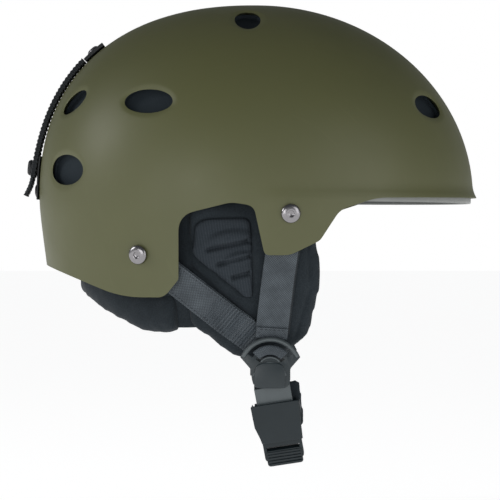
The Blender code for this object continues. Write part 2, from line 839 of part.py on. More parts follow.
def flank_stations(route, inset, count):
    """Stations of a strap lying along the flank."""
    stations = []
    path = smooth_path([(x, 0.0, z) for x, z in route], count)
    frames = [flank_frame(p.x, p.z, inset) for p in path]
    for (point, normal), tangent in zip(frames, tangents([frame[0] for frame in frames])):
        stations.append((point, normal.cross(tangent), normal))
    return stations


def add_strap(name, side, route, holes, count=12):
    """Webbing from a screw down to the divider."""
    bm = bmesh.new()
    ribbon(bm, flank_stations(route, strap_inset(), count), WEB_WIDTH, WEB_THICKNESS)
    cut(new_object(name, bm, webbing(), side), holes)


def divider_frame():
    """Local x forward, y up, z outwards on the right; its origin is the swing pivot."""
    return Matrix((
        (1.0, 0.0, 0.0, PIVOT[0]),
        (0.0, 0.0, -1.0, -DIVIDER_Y),
        (0.0, 1.0, 0.0, PIVOT[1]),
        (0.0, 0.0, 0.0, 1.0),
    ))


def arc(radius, start, end, steps, centre=(0.0, RIM_CENTRE)):
    """Points of an arc about the rim's centre, angles in degrees from local x."""
    points = []
    for k in range(steps + 1):
        angle = math.radians(start + (end - start) * k / steps)
        points.append(Vector((centre[0] + radius * math.cos(angle), centre[1] + radius * math.sin(angle))))
    return points


def divider_outline():
    """Arched top, then an apron with a rounded lower end."""
    top = arc(RIM_RADIUS, 22.0, 158.0, 16)
    apron = (
        (-APRON_HALF_WIDTH, 0.0035, 0.003),
        (-APRON_HALF_WIDTH + 0.002, APRON_BOTTOM, 0.006),
        (APRON_HALF_WIDTH, APRON_BOTTOM, 0.008),
        (APRON_HALF_WIDTH, 0.0035, 0.003),
    )
    corners = [(p.x, p.y, 0.0) for p in top]
    return rounded_outline([*corners, *apron], steps=4)


def slot(outer, inner):
    """Arched slot of the divider between two radii."""
    low, high = 90.0 - WINDOW_HALF_ANGLE, 90.0 + WINDOW_HALF_ANGLE
    return arc(outer, low, high, 12) + arc(inner, high, low, 12)


def add_divider(label, side):
    """Plate with two arched slots, and a bridge behind that carries the chin strap."""
    frame = divider_frame()
    half = DIVIDER_PLATE / 2.0
    bm = bmesh.new()
    prism(bm, divider_outline(), frame, -half, half)
    plate = new_object(f"strap_divider_{label}", bm, strap_plastic(), side, smooth=False)
    bm = bmesh.new()
    window_top = RIM_RADIUS - RIM_WIDTH
    prism(bm, slot(window_top, BAR_RADIUS + BAR_WIDTH / 2), frame, -2 * half, 2 * half)
    prism(bm, slot(BAR_RADIUS - BAR_WIDTH / 2, WINDOW_FLOOR_RADIUS), frame, -2 * half, 2 * half)
    cut(plate, new_cutter(f"divider_slots_{label}", bm, side))
    bm = bmesh.new()
    inner, outer = BRIDGE_POST
    deep = -BRIDGE_REACH - BRIDGE_BAR / 2
    outline = ((-outer, -BRIDGE_BAR / 2), (outer, -BRIDGE_BAR / 2), (outer, 0.004), (inner, 0.004),
               (inner, BRIDGE_BAR / 2), (-inner, BRIDGE_BAR / 2), (-inner, 0.004), (-outer, 0.004))
    prism(bm, outline, frame, deep, deep + BRIDGE_BAR)
    for sign in (-1.0, 1.0):
        xs = sorted((sign * inner, sign * outer))
        box(bm, (xs[0], 0.0008, deep + BRIDGE_BAR / 2), (xs[1], 0.004, 0.0), frame)
    bridge = new_cutter(f"divider_bridge_{label}", bm, side)
    join = plate.modifiers.new("bridge", "BOOLEAN")
    join.operation = "UNION"
    join.solver = "EXACT"
    join.use_self = True
    join.object = bridge


def add_strap_fold(label, side):
    """Lower ends of the straps, folded over the divider's arched bar."""
    frame = divider_frame()
    clear = TOUCH_GAP
    inner_low, inner_high = BAR_RADIUS - BAR_WIDTH / 2 - clear, BAR_RADIUS + BAR_WIDTH / 2 + clear
    outer_low, outer_high = inner_low - WEB_THICKNESS, inner_high + WEB_THICKNESS
    depth_in = DIVIDER_PLATE / 2 + clear
    depth_out = depth_in + WEB_THICKNESS
    outline_out = ((outer_low, -depth_out), (outer_high, -depth_out), (outer_high, depth_out), (outer_low, depth_out))
    outline_in = ((inner_low, -depth_in), (inner_high, -depth_in), (inner_high, depth_in), (inner_low, depth_in))
    bm = bmesh.new()
    steps = 10
    rings = ([], [])
    for k in range(steps + 1):
        angle = math.radians(90.0 - FOLD_HALF_ANGLE + 2 * FOLD_HALF_ANGLE * k / steps)
        for ring, outline in zip(rings, (outline_out, outline_in)):
            ring.append([
                bm.verts.new(frame @ Vector((r * math.cos(angle), RIM_CENTRE + r * math.sin(angle), d)))
                for r, d in outline
            ])
    for ring in rings:
        stitch(bm, ring, closed_rows=True)
    for end in (0, -1):
        stitch(bm, (rings[0][end], rings[1][end]), closed_rows=True)
    new_object(f"strap_fold_{label}", bm, webbing(), side)


# ---------------------------------------------------------------- chin strap


def chin_layer_y():
    """Distance of the chin webbing's middle from the centre plane, at the pivot."""
    return DIVIDER_Y - DIVIDER_PLATE / 2 - TOUCH_GAP - WEB_THICKNESS / 2


def chin_frame():
    """Local x across the webbing, y inwards, z back up the strap; origin at the bend."""
    down = Vector(CHIN_DIRECTION).normalized()
    across = (Vector((1.0, 0.0, 0.0)) - down * down.x).normalized()
    inward = (-down).cross(across)
    turn = Matrix((across, inward, -down)).transposed().to_4x4()
    return Matrix.Translation((PIVOT[0], -chin_layer_y(), PIVOT[1] - CHIN_BEND)) @ turn


def add_chin_fold(label, side):
    """Webbing folded round the divider's bridge, with two short tails."""
    frame = divider_frame()
    reach = BRIDGE_BAR / math.sqrt(2.0) + TOUCH_GAP + WEB_THICKNESS / 2
    points = [(-FOLD_TAIL, -BRIDGE_REACH + reach)]
    for k in range(7):
        angle = math.pi * k / 6
        points.append((reach * math.sin(angle), -BRIDGE_REACH + reach * math.cos(angle)))
    points.append((-FOLD_TAIL, -BRIDGE_REACH - reach))
    path = [frame @ Vector((0.0, v, w)) for v, w in points]
    bm = bmesh.new()
    ribbon(bm, turned_stations(path, Vector((1.0, 0.0, 0.0))), WEB_WIDTH, WEB_THICKNESS)
    new_object(f"chin_fold_{label}", bm, webbing(), side)


def chin_run_top(side):
    """Upper stretch of the chin webbing, flat behind the divider's apron."""
    heights = (FOLD_TAIL, 0.0, -CHIN_BEND * 0.6)
    return [Vector((PIVOT[0], side * chin_layer_y(), PIVOT[1] + height)) for height in heights]


def add_chin_web_right():
    """Webbing from the right divider, round the buckle's bar and back up as a tail."""
    frame = chin_frame()
    bar_thickness, bar_height = WEB_BAR
    layer = WEB_THICKNESS / 2 + TOUCH_GAP + bar_thickness / 2
    bar_z = -(BUCKLE_TOP + bar_height / 2)
    reach = bar_height / 2 + 3 * TOUCH_GAP + WEB_THICKNESS / 2
    local = [(0.0, -0.0015), (0.0, -0.008), (0.0, bar_z + 0.001)]
    for k in range(1, 6):
        angle = math.pi * k / 6
        local.append((layer - layer * math.cos(angle), bar_z - reach * math.sin(angle)))
    local += [(2 * layer, bar_z), (2 * layer, -0.0075)]
    path = chin_run_top(RIGHT) + [frame @ Vector((0.0, y, z)) for y, z in local]
    across = frame.to_3x3() @ Vector((1.0, 0.0, 0.0))
    upright = Vector((1.0, 0.0, 0.0))
    stations = turned_stations(path[:3], upright)
    stations += turned_stations(path, across)[3:]
    bm = bmesh.new()
    ribbon(bm, stations, WEB_WIDTH, WEB_THICKNESS)
    web = new_object("chin_web_right", bm, webbing())
    place_on_axis(web, (PIVOT[0], 0.0, PIVOT[1]))


def tail_back():
    """Local y of the tail's back face behind the chin webbing."""
    return WEB_BAR[0] + 2 * TOUCH_GAP + WEB_THICKNESS * 1.5


def add_web_keeper():
    """Sleeve round the chin webbing and its tail."""
    frame = chin_frame()
    side = WEB_WIDTH / 2 + TOUCH_GAP
    front, back = -WEB_THICKNESS / 2 - TOUCH_GAP, tail_back() + TOUCH_GAP
    inner = ((-side, front), (side, front), (side, back), (-side, back))
    wall = KEEPER_WALL
    outer = ((-side - wall, front - wall), (side + wall, front - wall), (side + wall, back + wall),
             (-side - wall, back + wall))
    bm = bmesh.new()
    rings = []
    for outline in (outer, inner):
        rings.append([
            [bm.verts.new(frame @ Vector((x, y, -z))) for x, y in outline]
            for z in (KEEPER_TOP, KEEPER_BOTTOM)
        ])
        stitch(bm, rings[-1], closed_rows=True)
    for end in (0, 1):
        stitch(bm, (rings[0][end], rings[1][end]), closed_rows=True)
    keeper = new_object("web_keeper", bm, strap_plastic())
    place_on_axis(keeper, (PIVOT[0], 0.0, PIVOT[1]))


def add_buckle_guard():
    """Soft flap between the buckle and the skin."""
    frame = chin_frame() @ Matrix.Rotation(math.pi / 2, 4, "X")
    top, bottom = GUARD_SPAN
    middle = 0.0025
    corners = (
        (middle - GUARD_HALF_WIDTH, -top, 0.004),
        (middle - GUARD_HALF_WIDTH, -bottom + 0.016, 0.012),
        (middle - 0.006, -bottom, 0.006),
        (middle + GUARD_HALF_WIDTH - 0.002, -bottom, 0.008),
        (middle + GUARD_HALF_WIDTH, -top, 0.004),
    )
    near = -(tail_back() + GUARD_OFFSET)
    bm = bmesh.new()
    prism(bm, rounded_outline(corners, steps=4), frame, near - GUARD_THICKNESS, near)
    guard = new_object("buckle_guard", bm, pad_fabric())
    place_on_axis(guard, (PIVOT[0], 0.0, PIVOT[1]))


def plate_frame():
    """Buckle drawing frame: local x across, y up the strap, z outwards."""
    return chin_frame() @ Matrix.Rotation(math.pi / 2, 4, "X")


def add_buckle_female():
    """Socket half: web bar at the top, chamber open below, a window at each side."""
    frame = plate_frame()
    top, mouth = -BUCKLE_TOP, -BUCKLE_JOIN
    wide, narrow = FEMALE_TOP_HALF_WIDTH, FEMALE_MOUTH_HALF_WIDTH
    bar_thickness, bar_height = WEB_BAR
    corners = []
    for sign, order in ((1.0, 1), (-1.0, -1)):
        edge = [(sign * narrow, mouth, 0.0008), (sign * wide, top - 0.0065, 0.010), (sign * wide, top, 0.0022)]
        corners += edge[::order]
    bm = bmesh.new()
    prism(bm, rounded_outline(corners, steps=3), frame, -FEMALE_BACK, -FEMALE_FRONT)
    female = new_object("buckle_female", bm, strap_plastic(), smooth=False)
    bm = bmesh.new()
    web_side = WEB_WIDTH / 2 + TOUCH_GAP
    bar_front = -(WEB_THICKNESS / 2 + TOUCH_GAP)
    deep, proud = -FEMALE_BACK - 0.002, -FEMALE_FRONT + 0.002
    low = top - bar_height - WEB_SLOT
    box(bm, (-web_side, low, deep), (web_side, top - bar_height, proud), frame)
    box(bm, (-web_side, top - bar_height - 0.0005, bar_front), (web_side, top + 0.002, proud), frame)
    box(bm, (-web_side, top - bar_height - 0.0005, deep), (web_side, top + 0.002, bar_front - bar_thickness), frame)
    inner_front, inner_back = -FEMALE_FRONT - CHAMBER_WALL, -FEMALE_BACK + CHAMBER_WALL
    box(bm, (-CHAMBER_HALF_WIDTH, mouth - 0.002, inner_back), (CHAMBER_HALF_WIDTH, -CHAMBER_TOP, inner_front), frame)
    for sign in (-1.0, 1.0):
        xs = sorted((sign * (CHAMBER_HALF_WIDTH - 0.001), sign * 0.02))
        box(bm, (xs[0], -WINDOW_SPAN[1], inner_back), (xs[1], -WINDOW_SPAN[0], inner_front), frame)
        xs = sorted((sign * (wide - 0.0022), sign * (wide - 0.0010)))
        box(bm, (xs[0], top - 0.0045, deep), (xs[1], top + 0.002, proud), frame)
    cutter = new_cutter("female_cutter", bm)
    modifier = female.modifiers.new("chamber", "BOOLEAN")
    modifier.operation = "DIFFERENCE"
    modifier.solver = "EXACT"
    modifier.use_self = True
    modifier.object = cutter
    place_parented(female, cutter)


def place_parented(obj, cutter):
    """Origin on the swing axis, with the cutter kept in step."""
    place_on_axis(obj, (PIVOT[0], 0.0, PIVOT[1]))
    cutter.parent = obj
    cutter.matrix_parent_inverse = Matrix.Translation((-PIVOT[0], 0.0, -PIVOT[1]))


def male_depths():
    """Front and back of the male half, centred in the female's thickness."""
    middle = (FEMALE_FRONT + FEMALE_BACK) / 2
    return -(middle + MALE_THICKNESS / 2), -(middle - MALE_THICKNESS / 2)


def add_buckle_male():
    """Plug half: guide tongue, shoulder and two web bars."""
    frame = plate_frame()
    top, bottom = -BUCKLE_JOIN - TOUCH_GAP, -BUCKLE_END
    back, front = male_depths()
    web_side = WEB_WIDTH / 2 + TOUCH_GAP
    corners = (
        (-MALE_HALF_WIDTH, top, 0.001),
        (-MALE_HALF_WIDTH, bottom, 0.002),
        (MALE_HALF_WIDTH, bottom, 0.002),
        (MALE_HALF_WIDTH, top, 0.001),
        (0.0022, top, 0.0),
        (0.0018, -CHAMBER_TOP - 0.002, 0.001),
        (-0.0018, -CHAMBER_TOP - 0.002, 0.001),
        (-0.0022, top, 0.0),
    )
    bm = bmesh.new()
    prism(bm, rounded_outline(corners, steps=2), frame, back, front)
    male = new_object("buckle_male", bm, strap_plastic(), smooth=False)
    bm = bmesh.new()
    for low, high in ((top - 0.0062, top - 0.0034), (top - 0.0108, top - 0.0082)):
        box(bm, (-web_side, low, back - 0.002), (web_side, high, front + 0.002), frame)
    cutter = new_cutter("male_slots", bm)
    cut(male, cutter)
    place_parented(male, cutter)


def add_prongs():
    """Spring arms with hooks that catch in the female's windows."""
    frame = plate_frame()
    back, front = male_depths()
    root = -BUCKLE_JOIN + 0.0006
    outer = CHAMBER_HALF_WIDTH - PRONG_CLEARANCE
    low, high = -WINDOW_SPAN[1] + PRONG_CLEARANCE, -WINDOW_SPAN[0] - PRONG_CLEARANCE
    tip = outer + PRONG_HOOK
    for name, sign in (("buckle_prong_front", 1.0), ("buckle_prong_rear", -1.0)):
        outline = (
            (outer - PRONG_WIDTH, root), (outer, root), (outer, low), (tip, low + 0.0004), (tip, low + 0.0024),
            (outer - 0.0006, high), (outer - PRONG_WIDTH, high - 0.0008),
        )
        bm = bmesh.new()
        prism(bm, [(sign * x, y) for x, y in outline], frame, back, front)
        prong = new_object(name, bm, strap_plastic(), smooth=False)
        place_on_axis(prong, frame @ Vector((sign * (outer - PRONG_WIDTH / 2), root, (front + back) / 2)))


def chin_route():
    """Centre line of the webbing from the male half, under the chin, up to the left divider."""
    frame = chin_frame()
    mirror = Matrix.Diagonal((1.0, -1.0, 1.0, 1.0))
    behind = -male_depths()[0] + TOUCH_GAP + WEB_THICKNESS
    start = frame @ Vector((0.0, behind, -BUCKLE_JOIN - 0.005))
    low_right = start + Vector((0.0, 0.020, -0.9 * CHIN_SAG))
    low_middle = Vector((start.x + 0.001, 0.0, start.z - CHIN_SAG))
    rise = [mirror @ frame @ Vector((0.0, 0.0, -z)) for z in (0.040, 0.026, 0.012, 0.003)]
    low_left = [mirror @ low_right, mirror @ start]
    return [start, low_right, low_middle, *low_left, *rise, *chin_run_top(LEFT)[::-1]]


def add_chin_web(count=36):
    """Webbing under the chin, from the buckle's male half to the left divider."""
    path = smooth_path(chin_route(), count)
    across = chin_frame().to_3x3() @ Vector((1.0, 0.0, 0.0))
    level = Vector((across.x, 0.0, across.z)).normalized()
    stations = []
    for point, tangent in zip(path, tangents(path)):
        rise = (point.z - PIVOT[1] + 0.012) / 0.010 if point.y > 0.0 else 0.0
        width = level.lerp(Vector((1.0, 0.0, 0.0)), min(max(rise, 0.0), 1.0))
        width = (width - tangent * width.dot(tangent)).normalized()
        stations.append((point, width, tangent.cross(width).normalized()))
    bm = bmesh.new()
    ribbon(bm, stations, WEB_WIDTH, WEB_THICKNESS)
    place_on_axis(new_object("chin_web", bm, webbing()), (PIVOT[0], 0.0, PIVOT[1]))


# ---------------------------------------------------------------- goggle-band retainer


def back_frame(height, offset):
    """Frame on the back centre line at a height, lifted off the shell; local y is up the shell."""
    station = station_of_height(math.pi, height)
    normal = shell_normal(math.pi, station)
    return normal_frame(shell_point(math.pi, station) + normal * offset, normal)


def retainer_screw_height():
    return sum(RETAINER_PLATE_SPAN) / 2.0


def base_screw_height():
    return RETAINER_BASE_SPAN[1] + 0.0055


def back_stations(span, offsets, count):
    """Stations of a strip down the back centre line between two heights."""
    stations = []
    for k in range(count):
        share = k / (count - 1)
        height = span[0] + (span[1] - span[0]) * share
        frame = back_frame(height, offsets[0] + (offsets[1] - offsets[0]) * share)
        stations.append((frame.translation, frame.col[0].to_3d(), frame.col[2].to_3d()))
    return stations


def add_strip(name, span, offsets, thickness, finish, count=10):
    bm = bmesh.new()
    ribbon(bm, back_stations(span, offsets, count), RETAINER_WIDTH, thickness)
    return new_object(name, bm, finish)


def snap_frame():
    """Frame of the press stud, square to the retainer strap's lower end."""
    return back_frame(SNAP_HEIGHT, 0.0)


def add_retainer(holes):
    """Upper plate, elastic strap, press stud, base and pull tab down the back."""
    plate_offset = TOUCH_GAP + RETAINER_PLATE_THICKNESS / 2
    plate = add_strip("retainer_plate", RETAINER_PLATE_SPAN, (plate_offset,) * 2, RETAINER_PLATE_THICKNESS,
                      black_rubber(), 4)
    cut(plate, holes)
    base_offset = TOUCH_GAP + RETAINER_BASE_THICKNESS / 2
    base = add_strip("retainer_base", RETAINER_BASE_SPAN, (base_offset,) * 2, RETAINER_BASE_THICKNESS,
                     black_rubber(), 6)
    cut(base, holes)
    strap = add_strip("retainer_strap", RETAINER_STRAP_SPAN, (RETAINER_TOP_OFFSET, RETAINER_SNAP_OFFSET),
                      RETAINER_STRAP_THICKNESS, black_rubber(), 14)
    hinge = retainer_hinge()
    place_on_axis(strap, hinge)
    reach = -SHELL_WALL
    bm = bmesh.new()
    seat = RETAINER_PLATE_THICKNESS + 2 * TOUCH_GAP
    turned(bm, screw_profile(SMALL_SCREW_RADIUS, 0.0014, seat, reach), back_frame(retainer_screw_height(), 0.0), 16)
    new_object("retainer_screw", bm, nickel())
    bm = bmesh.new()
    seat = RETAINER_BASE_THICKNESS + 2 * TOUCH_GAP
    turned(bm, screw_profile(SMALL_SCREW_RADIUS, 0.0010, seat, reach), back_frame(base_screw_height(), 0.0), 16)
    new_object("base_screw", bm, nickel())
    add_press_stud(hinge)
    add_pull_tab(hinge)


def retainer_hinge():
    """Axis point where the elastic strap leaves the plate."""
    frame = back_frame(RETAINER_STRAP_SPAN[0], RETAINER_TOP_OFFSET)
    return frame @ Vector((0.0, -RETAINER_STRAP_THICKNESS / 2, 0.0))


def strap_offset_at(height):
    """Lift of the retainer strap's middle off the shell at a height."""
    share = (height - RETAINER_STRAP_SPAN[0]) / (RETAINER_STRAP_SPAN[1] - RETAINER_STRAP_SPAN[0])
    return RETAINER_TOP_OFFSET + (RETAINER_SNAP_OFFSET - RETAINER_TOP_OFFSET) * share


def add_press_stud(hinge):
    """Stud on the base, cap on the strap."""
    frame = snap_frame()
    floor = RETAINER_BASE_THICKNESS + 2 * TOUCH_GAP
    ceiling = strap_offset_at(SNAP_HEIGHT) - RETAINER_STRAP_THICKNESS / 2 - TOUCH_GAP
    bm = bmesh.new()
    turned(bm, ((0.0, floor), (SNAP_STUD_RADIUS, floor), (SNAP_STUD_RADIUS, ceiling - 0.0002),
                (SNAP_STUD_RADIUS * 0.8, ceiling), (0.0, ceiling)), frame, 16)
    new_object("snap_stud", bm, nickel())
    seat = strap_offset_at(SNAP_HEIGHT) + RETAINER_STRAP_THICKNESS / 2 + TOUCH_GAP
    height = SNAP_CAP_HEIGHT
    bm = bmesh.new()
    turned(bm, ((0.0, seat), (SNAP_CAP_RADIUS, seat), (SNAP_CAP_RADIUS, seat + 0.45 * height),
                (SNAP_CAP_RADIUS * 0.75, seat + 0.88 * height), (0.0, seat + height)), frame)
    cap = new_object("snap_cap", bm, black_rubber())
    place_on_axis(cap, hinge)


def add_pull_tab(hinge):
    """Tail of the strap that stands off the shell for the fingers."""
    top = back_frame(RETAINER_STRAP_SPAN[1], RETAINER_SNAP_OFFSET)
    start = top @ Vector((0.0, -TOUCH_GAP, 0.0))
    end = Vector((PULL_TAB_END[0], 0.0, PULL_TAB_END[1]))
    middle = start.lerp(end, 0.5) + Vector((0.0006, 0.0, 0.0))
    path = smooth_path([start, middle, end], 6)
    across = Vector((0.0, 1.0, 0.0))
    bm = bmesh.new()
    ribbon(bm, turned_stations(path, across), RETAINER_WIDTH * 0.8, PULL_TAB_THICKNESS)
    tab = new_object("pull_tab", bm, black_rubber())
    place_on_axis(tab, hinge)


def build():
    """Make every piece."""
    clear_scene()
    holes = screw_holes()
    add_shell(holes)
    add_foam_liner()
    add_comfort_pads()
    add_nape_pad()
    for label, side in SIDES:
        add_ear_flap(label, side)
        add_strap_screw(label, side, "front", FRONT_SCREW)
        add_strap_screw(label, side, "rear", REAR_SCREW)
        add_strap(f"front_strap_{label}", side, FRONT_STRAP, holes)
        add_strap(f"rear_strap_{label}", side, REAR_STRAP, holes)
        add_divider(label, side)
        add_strap_fold(label, side)
        add_chin_fold(label, side)
    add_chin_web_right()
    add_web_keeper()
    add_buckle_guard()
    add_buckle_female()
    add_buckle_male()
    add_prongs()
    add_chin_web()
    add_retainer(holes)


build()
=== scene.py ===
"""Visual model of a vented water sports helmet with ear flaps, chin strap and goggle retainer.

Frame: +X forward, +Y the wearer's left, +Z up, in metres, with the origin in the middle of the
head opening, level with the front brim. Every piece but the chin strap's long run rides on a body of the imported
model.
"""

from __future__ import annotations

import logging
import math
from collections.abc import Callable, Iterable, Sequence
from dataclasses import dataclass, field
from enum import Enum

import bmesh
import bpy
from mathutils import Matrix, Vector, noise


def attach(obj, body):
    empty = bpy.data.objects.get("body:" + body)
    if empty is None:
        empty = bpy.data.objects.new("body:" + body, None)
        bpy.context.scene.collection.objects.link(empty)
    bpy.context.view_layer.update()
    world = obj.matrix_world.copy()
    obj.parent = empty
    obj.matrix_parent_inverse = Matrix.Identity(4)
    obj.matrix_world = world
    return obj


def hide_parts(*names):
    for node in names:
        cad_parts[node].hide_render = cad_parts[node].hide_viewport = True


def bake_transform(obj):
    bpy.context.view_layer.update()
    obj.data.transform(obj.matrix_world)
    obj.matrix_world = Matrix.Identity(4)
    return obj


log = logging.getLogger("helmet")
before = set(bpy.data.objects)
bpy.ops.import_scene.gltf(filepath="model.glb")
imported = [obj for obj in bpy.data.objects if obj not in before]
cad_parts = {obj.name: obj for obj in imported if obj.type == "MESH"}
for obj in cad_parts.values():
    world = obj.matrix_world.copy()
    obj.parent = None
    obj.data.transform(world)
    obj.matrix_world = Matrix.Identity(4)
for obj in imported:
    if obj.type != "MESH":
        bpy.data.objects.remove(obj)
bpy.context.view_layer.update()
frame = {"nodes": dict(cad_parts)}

BMesh = bmesh.types.BMesh
Node = bpy.types.Node
Object = bpy.types.Object
Socket = bpy.types.NodeSocket
Tree = bpy.types.NodeTree
Point2 = tuple[float, float]
Colour = tuple[float, float, float]
Station = tuple[Vector, Vector, Vector]
Profile = Sequence[Point2]

GAP = 0.0003  # clearance between separate parts
SKIN = 0.0001  # clearance between layers of one strap
WEB_WIDTH = 0.020
WEB_THICKNESS = 0.0015
STRIP_CREASE = 60.0  # degrees over which a strip's edge is drawn sharp
MM_WAVE = 2000.0 * math.pi  # radians per metre of a wave one millimetre long
FABRIC_WEAR_AND_SHEEN = (0.45, 1.0)  # least and most of the second colour in broad patches: worn cloth on the pads, painted sheen streaks along the webbing


class Side(Enum):
    """Which side of the head a piece is on, as the sign of its Y."""

    RIGHT = -1.0
    LEFT = 1.0

    @property
    def label(self) -> str:
        """Lower-case name used in piece names."""
        return self.name.lower()

    @property
    def from_right(self) -> Matrix:
        """Matrix that takes a right-hand place to this side."""
        return Matrix.Diagonal((1.0, -self.value, 1.0, 1.0))


class Body(Enum):
    """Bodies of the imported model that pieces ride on."""

    HELMET = "helmet"
    CHIN_LOOP = "chin_loop"
    TONGUE = "buckle_tongue"
    PRONG_FRONT = "prong_front"
    PRONG_REAR = "prong_rear"
    RETAINER = "retainer"


# ---------------------------------------------------------------- node helpers


class NodeBuilder:
    """Short calls for adding and wiring nodes in one tree."""

    def __init__(self, tree: Tree) -> None:
        """Keep the tree that nodes go into."""
        self.tree = tree

    def add(self, kind: str, **settings: object) -> Node:
        """Add a node and set its plain properties.

        Args:
            kind: Blender's node type name.
            settings: property names and values.

        Returns:
            The new node.
        """
        node = self.tree.nodes.new(kind)
        for name, value in settings.items():
            setattr(node, name, value)
        return node

    def wire(self, source: Socket, target: Socket) -> None:
        """Link two sockets."""
        self.tree.links.new(source, target)

    def feed(self, target: Socket, value: object) -> None:
        """Set a socket from a number, a tuple or another socket."""
        if isinstance(value, Socket):
            self.wire(value, target)
        else:
            target.default_value = value

    def math(self, operation: str, a: object, b: object = 0.0) -> Socket:
        """Add a Math node.

        Args:
            operation: the node's operation.
            a: first input, a number or a socket.
            b: second input, a number or a socket.

        Returns:
            The result socket.
        """
        node = self.add("ShaderNodeMath", operation=operation)
        self.feed(node.inputs[0], a)
        self.feed(node.inputs[1], b)
        return node.outputs[0]

    def spread(
        self, value: object, low: float, high: float, to_low: float = 0.0, to_high: float = 1.0
    ) -> Socket:
        """Map a value from one range to another, held at both ends."""
        node = self.add("ShaderNodeMapRange", clamp=True)
        for socket, number in zip(node.inputs, (value, low, high, to_low, to_high)):
            self.feed(socket, number)
        return node.outputs[0]

    def noise(self, vector: object, scale: object, detail: float = 2.0, roughness: float = 0.5) -> Socket:
        """Add a noise texture and return its value socket."""
        node = self.add("ShaderNodeTexNoise")
        self.feed(node.inputs["Vector"], vector)
        self.feed(node.inputs["Scale"], scale)
        node.inputs["Detail"].default_value = detail
        node.inputs["Roughness"].default_value = roughness
        return node.outputs["Fac"]

    def blend(self, share: object, first: object, second: object) -> Socket:
        """Mix two colours by a share."""
        node = self.add("ShaderNodeMix", data_type="RGBA")
        self.feed(node.inputs["Factor"], share)
        self.feed(node.inputs[6], first)
        self.feed(node.inputs[7], second)
        return node.outputs[2]

    def place(self, group: Tree, **values: object) -> Node:
        """Add a node group and set its inputs by name, with underscores for spaces."""
        node = self.add("ShaderNodeGroup", node_tree=group)
        for name, value in values.items():
            self.feed(node.inputs[name.replace("_", " ")], value)
        return node


def new_group(
    name: str, inputs: dict[str, tuple[str, object]], outputs: dict[str, str]
) -> tuple[NodeBuilder, Node, Node]:
    """Start a shader node group.

    Args:
        name: the group's name.
        inputs: socket name to (kind, default).
        outputs: socket name to kind.

    Returns:
        The builder, the group's input node and its output node.
    """
    tree = bpy.data.node_groups.new(name, "ShaderNodeTree")
    for label, (kind, default) in inputs.items():
        socket = tree.interface.new_socket(label, in_out="INPUT", socket_type="NodeSocket" + kind)
        if default is not None:
            socket.default_value = default
    for label, kind in outputs.items():
        tree.interface.new_socket(label, in_out="OUTPUT", socket_type="NodeSocket" + kind)
    nodes = NodeBuilder(tree)
    return nodes, nodes.add("NodeGroupInput"), nodes.add("NodeGroupOutput")


